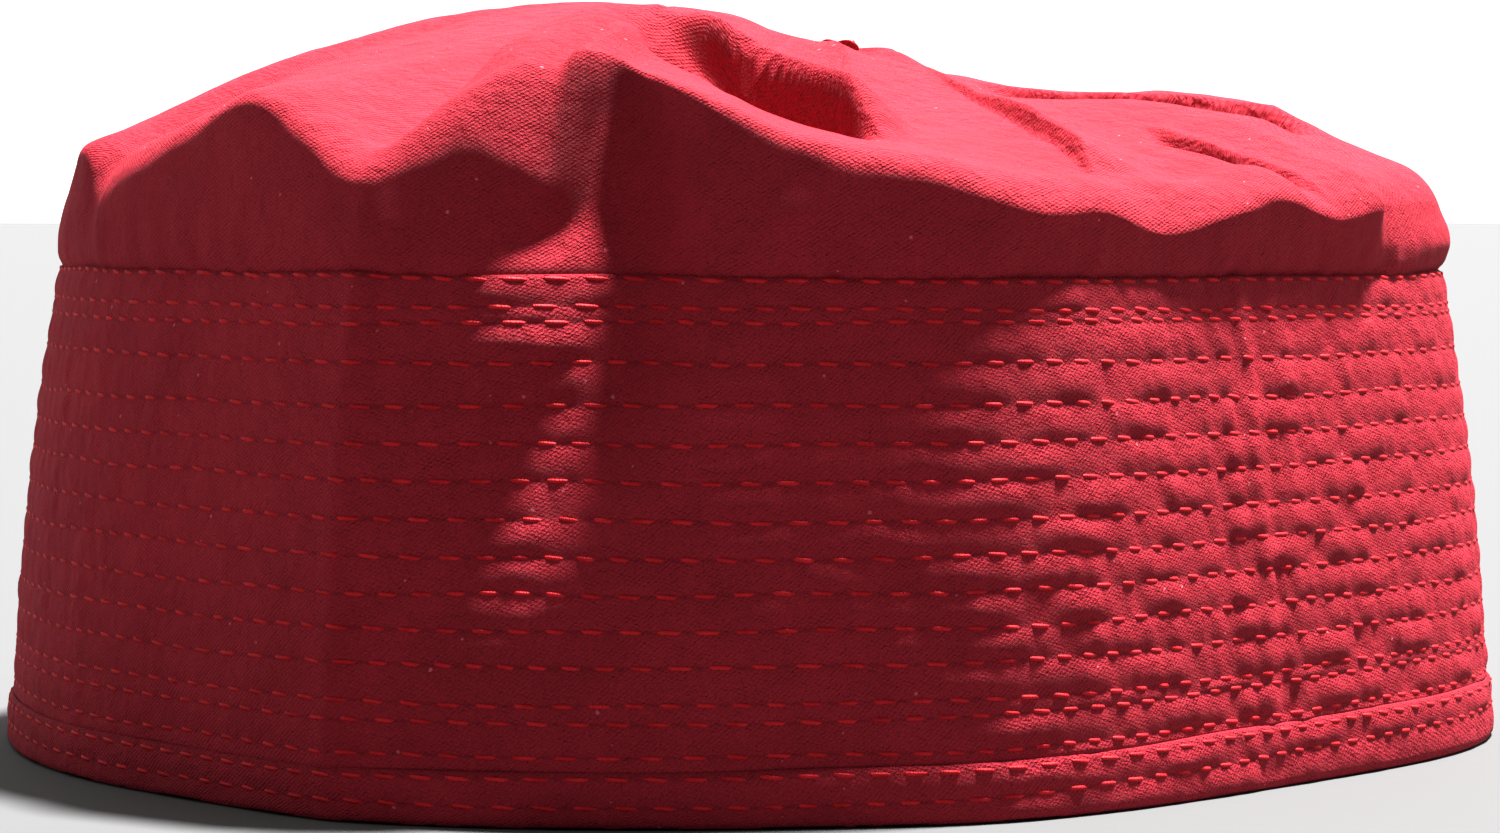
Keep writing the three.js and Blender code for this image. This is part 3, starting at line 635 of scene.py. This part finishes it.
COLUMNS = {"band_quilting": 780, "band_lining": 480, "hem_binding": 760}
LAST_ROW = len(STITCH_ROWS) - 1
EDGE_ROW = len(STITCH_ROWS)  # stands for the lower edge of the hem
HEM_TOP_ROW = len(STITCH_ROWS) - HEM_ROWS
LINING_DEPTH = BAND_WALL + 0.9  # of the lining's face behind the band's plain outside
HEM_DEPTH = BAND_WALL + 2.1  # and of the hem's inside
INNER_RELIEF = 0.8  # of the quilting's relief shows on the inside
TUCKED_UNDER_HEM = 0.75  # how far the band goes in under the hem
EDGE_ROLL = 0.9  # how far the hem turns in at its lower edge


def between_rows(value, azimuth, level):
    """value(row, azimuth) at a level, which is a row number that may have a fraction."""
    level = np.broadcast_to(np.asarray(level, float), azimuth.shape)
    result = np.zeros(azimuth.shape)
    for row in np.unique(np.floor(level).astype(int)):
        at = np.floor(level).astype(int) == row
        upper, lower = value(row, azimuth[at]), value(row + 1, azimuth[at])
        result[at] = upper + (lower - upper) * (level[at] - row)
    return result


def level_height(azimuth, level):
    return between_rows(lambda row, a: row_height(row, a) if row < EDGE_ROW else 0, azimuth, level)


def level_count(azimuth, level):
    return between_rows(lambda row, a: stitch_count(min(row, LAST_ROW), a), azimuth, level)


def crowded(steps):
    """Steps from 0 to 1 that crowd towards both ends."""
    t = np.linspace(0, 1, steps + 1)
    return t + 0.5 * (smoothstep(t) - t)


def quilt_levels(first, last, steps):
    levels = [row + crowded(steps)[:-1] for row in range(first, last)]
    return np.append(np.concatenate(levels), last)


def spun(columns):
    """Azimuths round the cap from the band's seam, with the first one again at the end."""
    return BAND_SEAM - 360 + 360 * np.arange(columns + 1) / columns


def ring_maps(azimuth, level, travel):
    """The cloth's own coordinates in metres, and its place among the stitches."""
    around = np.radians(azimuth) * RIM_RADIUS * PLAN_SHARE * MM
    return {
        "cloth": np.stack([around, travel * MM], -1),
        "stitching": np.stack([level_count(azimuth, level), level], -1),
    }


def section_ring(name, section):
    """A ring from a section: a list of (level, extra height, offset function) round the loop."""
    azimuth = spun(COLUMNS[name])
    points = np.empty((len(azimuth), len(section), 3))
    level = np.empty((len(azimuth), len(section)))
    for k, (row, rise, offset) in enumerate(section):
        height = level_height(azimuth, row) + rise
        points[:, k] = ring_point(azimuth, height, offset(azimuth, height))
        level[:, k] = row
    points, level = [np.concatenate([grid, grid[:, :1]], 1) for grid in (points, level)]
    travel = np.broadcast_to(travelled(points).mean(0), level.shape)
    wide = np.broadcast_to(azimuth[:, None], level.shape)
    return ring_solid(name, points[:-1, :-1], ring_maps(wide, level, travel))


def hem_edge(azimuth):
    return row_height(HEM_TOP_ROW, azimuth) + HEM_LIP


def plain(offset):
    """An offset that is the same all the way round."""
    return lambda azimuth, height: offset + 0 * azimuth


def hem_face(azimuth, row):
    return HEM_PROUD + quilt(azimuth, row)


def lining_face(azimuth, row):
    return -LINING_DEPTH - INNER_RELIEF * quilt(azimuth, row)


def rounded_lip(row, face, lip, depth, shares):
    """The part of a section that rounds off a lip of cloth above a row of stitching, with points
    at shares of the quarter turn."""
    section = []
    for share in shares:
        angle = share * math.pi / 2
        inset = depth * (1 - math.cos(angle))
        section.append((row, lip * math.sin(angle), lambda a, h, inset=inset: face(a, row) - inset))
    return section


def make_band():
    """The quilted outer layer: its outside from the hem up, then its back down again."""
    def outside(row):
        def offset(azimuth, height):
            tucked = smoothstep(hem_edge(azimuth) - height, 0.1, 0.6)
            return band_face(azimuth, row) * (1 - tucked) - TUCKED_UNDER_HEM * tucked
        return offset

    section = [(row, 0, outside(row)) for row in quilt_levels(0, HEM_TOP_ROW, 7)[::-1]]
    section += rounded_lip(0, band_face, LIP, LIP, (0.45, 0.8, 1))
    back = [(0, LIP * 0.7, 0.25), (0.5, 0, 0.35)]
    back += [(row, 0, 0.35) for row in range(1, HEM_TOP_ROW)]
    back += [(HEM_TOP_ROW, 0, 0.6)]
    section += [(row, rise, plain(-BAND_CLOTH - extra)) for row, rise, extra in back]
    return section_ring("band_quilting", section)


def make_lining():
    section = [(row, 0, lambda a, h, row=row: lining_face(a, row))
               for row in quilt_levels(0, HEM_TOP_ROW, 4)]
    back = [(HEM_TOP_ROW, -0.3, -BAND_WALL - 0.1)]
    back += [(row, 0, -BAND_WALL + 0.3) for row in range(HEM_TOP_ROW - 1, 0, -1)]
    back += [(0, 0.2, -BAND_WALL + 0.1), (0, 0.7, -BAND_WALL - 0.2)]
    section += [(row, rise, plain(offset)) for row, rise, offset in back]
    return section_ring("band_lining", section)


def make_hem():
    """A strip folded under the band: its outside from the edge up, then its inside back down."""
    def outside(row):
        def offset(azimuth, height):
            return hem_face(azimuth, row) - EDGE_ROLL * (1 - smoothstep(height, -0.4, 1.0)) ** 2
        return offset

    inner = -HEM_DEPTH
    section = [(row, 0, outside(row)) for row in quilt_levels(HEM_TOP_ROW, EDGE_ROW, 9)[::-1][1:]]
    section += rounded_lip(HEM_TOP_ROW, hem_face, HEM_LIP, 0.55, (0.35, 0.7, 1))
    fold = [
        (HEM_TOP_ROW, HEM_LIP * 0.6, HEM_PROUD - HEM_CLOTH - 0.2),
        (HEM_TOP_ROW, 0, HEM_PROUD - HEM_CLOTH - 0.3),
        (EDGE_ROW, 1.2, HEM_PROUD - HEM_CLOTH - 0.3),
        (EDGE_ROW, 1.2, inner + HEM_CLOTH),
        (HEM_TOP_ROW, 0.4, inner + HEM_CLOTH),
        (HEM_TOP_ROW, 0.9, inner + HEM_CLOTH / 2),
    ]
    section += [(row, rise, plain(offset)) for row, rise, offset in fold]
    for row in quilt_levels(HEM_TOP_ROW, EDGE_ROW, 5)[:-1]:
        section.append((row, 0, lambda a, h, row=row: inner - INNER_RELIEF * quilt(a, row)))
    edge = [(0.5, inner + 0.15), (0.1, inner + 0.6), (0, inner + 1.4)]
    edge += [(0, -0.9), (0.05, -0.3), (0.25, 0.15)]
    section += [(EDGE_ROW, rise, plain(offset)) for rise, offset in edge]
    return section_ring("hem_binding", section)


# ---- Stitches ----

THREAD_TALL = 0.26  # half sizes of the flattened thread
THREAD_DEEP = 0.1
STITCH_SHARE = 0.74  # of the pitch
STITCH_ARCH = 0.2  # rise of a stitch's middle over its ends
STITCH_ROOT = 0.14  # how deep its ends lie in the cloth
STITCH_SLANT = 0.2  # how much lower one end is than the other
STITCH_TAPER = 0.5  # share of its thickness that it loses at its ends


def stitch_azimuth(row, count):
    """Where a row's count of stitches comes to this number."""
    azimuth = count * 0.0
    whole = stitch_count(row, np.array([360.0])) - stitch_count(row, np.array([0.0]))
    for _ in range(4):
        azimuth = azimuth + (count - stitch_count(row, azimuth)) * 360 / whole
    return azimuth


def stitch_lines(rows, face, outwards, stations):
    """Points along the middle of every stitch in these rows."""
    runs = []
    for row in rows:
        ends = np.ceil(stitch_count(row, np.array([BAND_SEAM - 360.0, BAND_SEAM])))
        number = np.arange(*ends.astype(int))[:, None]
        share = np.linspace(0, 1, stations)[None, :]
        length = STITCH_SHARE * (1 + 0.05 * rng.normal(size=(len(number), 1)))
        count = number + 0.5 + (share - 0.5) * length
        azimuth = stitch_azimuth(row, count.ravel())
        arch = np.sin(np.pi * share) ** 0.4
        lift = (STITCH_ARCH * arch - STITCH_ROOT) * (1 + 0.12 * rng.normal(size=(len(number), 1)))
        slant = (0.5 - share) * (STITCH_SLANT + 0.08 * rng.normal(size=(len(number), 1)))
        height = row_height(row, azimuth) + slant.ravel()
        offset = face(azimuth, row) + outwards * lift.ravel()
        runs.append(ring_point(azimuth, height, offset).reshape(len(number), stations, 3))
    return np.concatenate(runs)


def make_stitches(name, rows, face, outwards=1, sides=5, segments=4):
    """A flattened tube of thread for each stitch along these rows, lying on face(azimuth, row)."""
    stations = segments + 1
    centre = stitch_lines(rows, face, outwards, stations)
    along = unit(np.gradient(centre, axis=1))
    out = unit(centre * [1, 1, 0]) * outwards
    out = unit(out - along * np.sum(out * along, -1, keepdims=True))
    side = np.cross(along, out)
    angle = 2 * np.pi * np.arange(sides) / sides
    taper = (1 - STITCH_TAPER * np.linspace(-1, 1, stations) ** 4)[None, :, None, None]
    circle = (out[:, :, None] * np.cos(angle)[:, None] * THREAD_DEEP
              + side[:, :, None] * np.sin(angle)[:, None] * THREAD_TALL)
    points = centre[:, :, None] + circle * taper
    first = (np.arange(len(centre)) * stations * sides)[:, None, None]
    corners = lattice(stations, sides, looped=True)
    turned = corners[:, [1, 2, 3, 0]]
    quads = (first + turned[..., 0] * sides + turned[..., 1] % sides).reshape(-1, 4)
    scale = np.array([STITCH_PITCH * STITCH_SHARE / segments, 1 / sides])
    quad_uv = np.tile((corners[:, [0, 3, 2, 1]] * scale).reshape(-1, 2), (len(centre), 1))
    start_cap = np.arange(sides)
    end_cap = segments * sides + start_cap[::-1]
    caps = (first + np.stack([start_cap, end_cap])[None]).reshape(-1, sides)
    cap_uv = np.zeros((caps.size, 2))
    uvs = {"cloth": np.concatenate([quad_uv, cap_uv])}
    return mesh_object(name, points.reshape(-1, 3), [quads, caps], uvs)


# ---- The crown ----

SEAM_STEPS = (0, 0.15, 0.35, 0.6, 0.95, 1.4)  # distances of the first columns from a seam
SEAM_DEGREE = 1.6  # millimetres in a degree, at most
NARROW_DEGREE = 0.35  # below this the columns at a seam draw in
SKIRT_ROWS = 3
LOW_CROWDING = 0.5  # how much closer the lowest rows of a gore stand
CROWDED = (0.2, 0.26, 0.4, 0.48)  # reaches that the crowding sets in and ends over


def climbing(steps, crowd):
    """Reaches of the rows up a gore."""
    reach = np.linspace(0, 1, 1001)
    crowding = smoothstep(reach, *CROWDED[:2]) * (1 - smoothstep(reach, *CROWDED[2:]))
    density = 1 + LOW_CROWDING * (1 - reach) + (crowd - 1) * crowding
    travelled = np.concatenate([[0], np.cumsum((density[1:] + density[:-1]) / 2)])
    return np.interp(np.linspace(0, travelled[-1], steps + 1), travelled, reach)


def gore_azimuths(gore, reach):
    """The azimuth of each column of a gore at each reach, closest together at the seams."""
    start, end, steps = gore["start"], gore["end"], gore["steps"]
    share = np.linspace(0, 1, steps + 1 - 2 * (len(SEAM_STEPS) - 1))
    azimuth = np.empty((steps + 1, len(reach)))
    for k, r in enumerate(reach):
        edge = smooth_crown_point(np.array([start, start + 1.0, end - 1.0, end]), np.full(4, r))
        low = min(np.linalg.norm(edge[1] - edge[0]), SEAM_DEGREE)
        high = min(np.linalg.norm(edge[3] - edge[2]), SEAM_DEGREE)
        shrink = min(1, min(low, high) / NARROW_DEGREE)
        inset = np.array(SEAM_STEPS) * shrink
        left = start + inset / low
        right = end - inset[::-1] / high
        middle = left[-1] + (right[0] - left[-1]) * share
        azimuth[:, k] = np.concatenate([left[:-1], middle, right[1:]])
    return azimuth


def make_gore(gore):
    """A gore of cloth, with a skirt at its foot that goes down behind the band."""
    reach = climbing(gore["climb"], gore["crowd"])
    azimuth = gore_azimuths(gore, reach)
    flat_a = azimuth.ravel()
    flat_r = np.broadcast_to(reach, azimuth.shape).ravel()
    outer = crown_point(flat_a, flat_r)
    direction = fold_direction(flat_a, flat_r)
    normal = surface_normal(crown_point, flat_a, flat_r, turn=0.3)
    slope = np.maximum(np.sum(direction * normal, -1), STEEPEST_WALL)
    inner = outer - direction * (CROWN_CLOTH / slope)[:, None]
    shape = azimuth.shape + (3,)
    foot = azimuth[:, 0]
    skirt = BAND_HEIGHT - SKIRT_DEPTH * (1 - np.arange(SKIRT_ROWS) / SKIRT_ROWS)
    skirt_out = np.stack([ring_point(foot, z, -SKIRT_INSET) for z in skirt], 1)
    skirt_in = np.stack([ring_point(foot, z, -SKIRT_INSET - CROWN_CLOTH) for z in skirt], 1)
    outer = np.concatenate([skirt_out, outer.reshape(shape)], 1)
    inner = np.concatenate([skirt_in, inner.reshape(shape)], 1)
    reach_all = np.concatenate([np.zeros(SKIRT_ROWS), reach])
    radius = np.hypot(outer[..., 0] - KNOT.x * reach_all, outer[..., 1])
    turn = np.radians(azimuth - (gore["start"] + gore["end"]) / 2)
    turn = np.concatenate([np.repeat(turn[:, :1], SKIRT_ROWS, 1), turn], 1)
    cloth = np.stack([radius * turn, travelled(outer)], -1) * MM
    return sheet_solid(gore["name"] + "_cloth", outer, inner, {"cloth": cloth})


# share of the way over the knot from its foot to its pit, radius, height over the gore tips
KNOT_SECTION = [
    (0, 2.5, -1.2), (0.2, 3.4, 0.2), (0.42, 3, 1.25),
    (0.6, 2.1, 1), (0.78, 1.4, 0), (1, 0.15, -0.9),
]
KNOT_TWIST = 2.2  # radians
KNOT_PLEAT = 0.12  # swing of its radius, as a share
KNOT_RUFFLE = 0.25  # swing of its height
KNOT_OFF_CENTRE = 0.05  # how much larger its radius is to the right, as a share


def make_knot():
    """The gore tips, gathered and twisted into a low ring of pleats round a pit."""
    columns, rows = 160, 56
    around = 2 * np.pi * np.arange(columns) / columns
    angle, share = np.meshgrid(around, np.linspace(0, 1, rows), indexing="ij")
    turn = angle + KNOT_TWIST * share
    lobe = 0.6 * np.sin(5 * turn + 0.7 * np.sin(2 * turn)) + 0.4 * np.sin(9 * turn + 1.3)
    shares, radii, heights = np.transpose(KNOT_SECTION)
    radius = curve_through(shares, radii, share)
    height = curve_through(shares, heights, share)
    ruffle = np.sin(np.pi * share) ** 0.7
    radius = radius * (1 + KNOT_PLEAT * lobe * ruffle) * (1 + KNOT_OFF_CENTRE * np.cos(angle))
    height = height + KNOT_RUFFLE * lobe * ruffle
    x, y = KNOT.x + radius * np.cos(angle), KNOT.y + radius * np.sin(angle)
    points = np.stack([x, y, KNOT.z + height], -1)
    corners = lattice(columns, rows, around=True)
    column, row = corners[..., 0], corners[..., 1]
    quads = column % columns * rows + row
    bottom = (np.arange(columns) * rows)[::-1][None]
    pit = (np.arange(columns) * rows + rows - 1)[None]
    uv = np.stack([column / columns * 14, row / rows * 4], -1).reshape(-1, 2) * MM
    uv = np.concatenate([uv, np.zeros((2 * columns, 2))])
    return mesh_object("crown_knot_twist", points.reshape(-1, 3), [quads, bottom, pit], {"cloth": uv})


# ---- Materials ----


def linear(*srgb):
    """Linear colour from an sRGB one with channels up to 255."""
    values = [c / 255 for c in srgb]
    return tuple(c / 12.92 if c <= 0.04045 else ((c + 0.055) / 1.055) ** 2.4 for c in values) + (1,)


class Nodes:
    """Short names for making the nodes of a material or a world."""

    def __init__(self, owner):
        self.owner = owner
        owner.use_nodes = True
        self.tree = owner.node_tree

    def add(self, kind, values=(), **settings):
        node = self.tree.nodes.new(kind)
        for key, value in settings.items():
            setattr(node, key, value)
        for key, value in dict(values).items():
            self.put(node.inputs[key], value)
        return node

    def put(self, socket, value):
        if isinstance(value, bpy.types.NodeSocket):
            self.tree.links.new(value, socket)
        else:
            socket.default_value = value

    def math(self, operation, a, b=0.0):
        return self.add("ShaderNodeMath", {0: a, 1: b}, operation=operation).outputs[0]

    def times(self, a, b):
        return self.math("MULTIPLY", a, b)

    def plus(self, a, b):
        return self.math("ADD", a, b)

    def dot(self, a, b):
        node = self.add("ShaderNodeVectorMath", {0: a, 1: b}, operation="DOT_PRODUCT")
        return node.outputs["Value"]

    def from_whole(self, value):
        """Distance of a value from the nearest whole number."""
        part = self.math("FRACT", self.plus(value, 0.5))
        return self.math("ABSOLUTE", self.math("SUBTRACT", part, 0.5))

    def bump(self, height, strength, distance, under=None):
        node = self.add("ShaderNodeBump", {"Height": height, "Strength": strength, "Distance": distance})
        if under:
            self.put(node.inputs["Normal"], under)
        return node.outputs[0]

    def ramp(self, value, low, high, to_low=0.0, to_high=1.0):
        values = {"Value": value, "From Min": low, "From Max": high, "To Min": to_low, "To Max": to_high}
        return self.add("ShaderNodeMapRange", values, interpolation_type="SMOOTHSTEP").outputs["Result"]

    def noise(self, vector, scale, detail=2.0, roughness=0.5):
        values = {"Vector": vector, "Scale": scale, "Detail": detail, "Roughness": roughness}
        return self.add("ShaderNodeTexNoise", values).outputs["Fac"]

    def mix(self, factor, a, b):
        node = self.add("ShaderNodeMix", data_type="RGBA")
        for socket, value in zip((node.inputs[0], node.inputs[6], node.inputs[7]), (factor, a, b)):
            self.put(socket, value)
        return node.outputs[2]

    def finish(self, shader, values):
        """The owner, with its shader's sockets set or linked."""
        for key, value in values.items():
            self.put(self.tree.nodes[shader].inputs[key], value)
        return self.owner


TWILL_PITCH = 0.00043  # metres, between the ribs of the weave
YARN_PITCH = 0.0005
SLACK = 1.6  # how far the ribs wander
RIB, YARN, GRAIN = 0.36, 0.2, 3.0  # shares in the relief of the weave
TONES = (0.86, 1.12)  # brightness of the darkest and the lightest patches
LINT_AND_GLINT_CELLS = (0.86, 1.0)  # cells numbered 0 to 1 hold lint and painted fibre glints from the first, the most at the second
LINT_AND_GLINT_SIZE = 0.14
LINT_AND_GLINT_STRENGTH = 0.55
HOLE_STRENGTH = 0.28  # of the shadow in a needle hole
# strength of the painted shade along the groove of each row
GROOVE_SHADE_STRENGTH = 0.18
WEAVE_BUMP = (0.7, 0.0002)  # strength, and height in metres
FUZZ_BUMP = (0.5, 0.0005)
UNEVEN_BUMP = (0.5, 0.0016)
PLY_BUMP = (0.4, 0.00004)
PLY_TWIST = (3.2, 2.0, 0)
RED = linear(174, 47, 61)
# painted shade for the hollows of the weave
WEAVE_HOLLOW_SHADE = linear(118, 24, 36)
# painted shade for the needle holes and the grooves along the rows
SHADOW_RED = linear(60, 3, 12)
# pale pink specks: lint, and painted glints of loose fibres
LINT_AND_GLINT_PINK = linear(226, 128, 140)
# the last of these is painted shade for the grooves between the thread's plies
THREAD_RED, PALE_THREAD, THREAD_PLY_SHADE = linear(182, 26, 38), linear(210, 42, 52), linear(150, 12, 24)


def cotton_twill(name, tilt, stitched=False):
    """Cotton twill with its diagonal at a tilt in degrees, painted shade in the hollows of its weave,
    lint with painted fibre glints, and painted shade in the needle holes and along the rows of stitched
    cloth.
    """
    n = Nodes(bpy.data.materials.new(name))
    cloth = n.add("ShaderNodeUVMap", uv_map="cloth").outputs[0]
    place = n.add("ShaderNodeTexCoord").outputs["Object"]
    slack = n.noise(cloth, 900.0, 1.0)
    wobble = n.times(n.math("SUBTRACT", slack, 0.5), SLACK)
    angle = math.radians(tilt)
    across = (-math.sin(angle) / TWILL_PITCH, math.cos(angle) / TWILL_PITCH, 0)
    along = (math.cos(angle) / YARN_PITCH, math.sin(angle) / YARN_PITCH, 0)
    rib_at = n.dot(cloth, across)
    yarn_at = n.dot(cloth, along)
    rib = n.math("SINE", n.plus(n.times(rib_at, 2 * math.pi), wobble))
    stagger = n.times(rib_at, math.pi)
    yarn = n.math("SINE", n.plus(n.times(yarn_at, 2 * math.pi), stagger))
    weave = n.plus(n.times(rib, RIB), n.times(yarn, YARN))
    grain = n.noise(cloth, 4600.0, 2.0, 0.6)
    height = n.plus(weave, n.times(grain, GRAIN))

    broad = n.noise(place, 26.0, 3.0, 0.55)
    patchy = n.noise(place, 160.0, 3.0, 0.6)
    tone = n.plus(n.times(broad, 0.55), n.times(patchy, 0.45))
    darker, lighter = [tuple(c * share for c in RED[:3]) + (1,) for share in TONES]
    colour = n.mix(n.ramp(tone, 0.3, 0.7), darker, lighter)
    # painted shade in the hollows of the weave, where its relief lies low
    colour = n.mix(n.ramp(height, 1.2, 2.4, 0.25, 0.0), colour, WEAVE_HOLLOW_SHADE)

    # lint, and painted glints of loose fibres
    specks = n.add("ShaderNodeTexVoronoi", {"Vector": cloth, "Scale": 620.0, "Randomness": 1.0})
    chosen = n.add("ShaderNodeSeparateColor", {"Color": specks.outputs["Color"]}).outputs[0]
    size = n.ramp(chosen, *LINT_AND_GLINT_CELLS, 0.0, LINT_AND_GLINT_SIZE)
    speck = n.times(n.math("LESS_THAN", specks.outputs["Distance"], size), LINT_AND_GLINT_STRENGTH)
    colour = n.mix(speck, colour, LINT_AND_GLINT_PINK)

    if stitched:  # painted shade in the needle holes between the stitches, and along the groove of each row
        stitching = n.add("ShaderNodeUVMap", uv_map="stitching").outputs[0]
        parts = n.add("ShaderNodeSeparateXYZ", {0: stitching})
        across_gap = n.from_whole(parts.outputs[0])
        down_gap = n.from_whole(parts.outputs[1])
        near_hole = n.ramp(across_gap, 0.04, 0.1, 1.0, 0.0)
        hole = n.times(near_hole, n.ramp(down_gap, 0.02, 0.08, 1.0, 0.0))
        groove = n.ramp(down_gap, 0.02, 0.1, GROOVE_SHADE_STRENGTH, 0.0)
        painted_shade = n.math("MAXIMUM", n.times(hole, HOLE_STRENGTH), groove)
        colour = n.mix(painted_shade, colour, SHADOW_RED)
    weave_bump = n.bump(height, *WEAVE_BUMP)
    fuzz_bump = n.bump(n.noise(cloth, 1300.0, 3.0, 0.7), *FUZZ_BUMP, weave_bump)
    uneven_bump = n.bump(n.noise(place, 330.0, 2.0, 0.6), *UNEVEN_BUMP, fuzz_bump)
    return n.finish("Principled BSDF", {
        "Base Color": colour,
        "Roughness": n.ramp(weave, -0.5, 0.5, 0.9, 0.68),
        "Specular IOR Level": 0.1,
        "Sheen Weight": 0.04,
        "Sheen Roughness": 0.45,
        "Sheen Tint": linear(255, 118, 140),
        "Normal": uneven_bump,
    })


def sewing_thread(name):
    n = Nodes(bpy.data.materials.new(name))
    cloth = n.add("ShaderNodeUVMap", uv_map="cloth").outputs[0]
    place = n.add("ShaderNodeTexCoord").outputs["Object"]
    ply = n.math("SINE", n.times(n.dot(cloth, PLY_TWIST), 2 * math.pi))
    tone = n.noise(place, 420.0, 2.0)
    colour = n.mix(n.ramp(tone, 0.3, 0.7), THREAD_RED, PALE_THREAD)
    # painted shade in the grooves between the thread's plies
    colour = n.mix(n.ramp(ply, -1.0, 0.2, 0.25, 0.0), colour, THREAD_PLY_SHADE)
    return n.finish("Principled BSDF", {
        "Base Color": colour,
        "Roughness": 0.6,
        "Specular IOR Level": 0.15,
        "Normal": n.bump(ply, *PLY_BUMP),
    })


# ---- Pieces ----


def finish_piece(piece, material, slot, *nodes):
    piece.data.materials.append(material)
    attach(piece, "root")
    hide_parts(*nodes)


band_twill = cotton_twill("band_twill", 42, stitched=True)
crown_twill = cotton_twill("crown_twill", 32)
thread = sewing_thread("topstitch_thread")

finish_piece(make_band(), band_twill, "band_cotton", "band")
finish_piece(make_lining(), band_twill, "band_cotton", "band")
finish_piece(make_hem(), band_twill, "hem_cotton", "hem")
finish_piece(make_stitches("band_topstitching", range(HEM_TOP_ROW), band_face),
             thread, "band_cotton", "band")
finish_piece(make_stitches("hem_topstitching", range(HEM_TOP_ROW, EDGE_ROW), hem_face),
             thread, "hem_cotton", "hem")
finish_piece(make_stitches("band_bobbin_stitching", range(HEM_TOP_ROW), lining_face,
                           outwards=-1, sides=4, segments=3),
             thread, "band_cotton", "band")
for gore in GORES:
    finish_piece(make_gore(gore), crown_twill, "crown_cotton", gore["name"])
finish_piece(make_knot(), crown_twill, "crown_cotton", "crown_knot")

# ---- Floor, light and camera ----

FLOOR_GREY = (0.082, 0.082, 0.082, 1)
TO_SUN = (0.235, 0.17, 0.95)
SUN_STRENGTH = 22
SUN_WIDTH = 6  # degrees
FRONT_LIGHT = 0.3  # brightness of the surround on the camera's side
BACK_LIGHT = 1.38
LENS = 102.9
CAMERA_PLACE = (-0.0003, -0.553, 0.0668)
CAMERA_DIP = 2.77  # degrees that it looks down


def make_floor():
    n = Nodes(bpy.data.materials.new("pale_floor"))
    material = n.finish("Principled BSDF", {"Base Color": FLOOR_GREY, "Roughness": 0.9})
    mesh = bpy.data.meshes.new("floor")
    far = 20.0
    mesh.from_pydata([(-far, -far, 0), (far, -far, 0), (far, far, 0), (-far, far, 0)], [], [(0, 1, 2, 3)])
    mesh.materials.append(material)
    floor = placed("floor", mesh)
    floor.location.z = cad_low[2]


def make_sun():
    sun = bpy.data.lights.new("key", "SUN")
    sun.energy = SUN_STRENGTH
    sun.angle = math.radians(SUN_WIDTH)
    key = placed("key", sun)
    key.rotation_euler = Vector(TO_SUN).to_track_quat("Z", "Y").to_euler()


def make_world():
    """A pale surround, brighter behind the cap than in front of it."""
    n = Nodes(bpy.data.worlds.new("studio"))
    direction = n.add("ShaderNodeTexCoord").outputs["Generated"]
    back = n.add("ShaderNodeSeparateXYZ", {0: direction}).outputs["Y"]
    strength = n.ramp(back, -0.5, 0.7, FRONT_LIGHT, BACK_LIGHT)
    scene.world = n.finish("Background", {"Strength": strength, "Color": (1, 1, 1, 1)})


def make_camera():
    camera = placed("camera", bpy.data.cameras.new("camera"))
    camera.data.lens = LENS
    camera.data.sensor_width = 36
    camera.data.clip_start = 0.01
    camera.location = CAMERA_PLACE
    camera.rotation_euler = (math.radians(90 - CAMERA_DIP), 0, 0)
    scene.camera = camera


make_floor()
make_sun()
make_world()
make_camera()
scene.view_settings.view_transform = "Standard"
scene.view_settings.gamma = 0.86  # below 1 deepens the shade
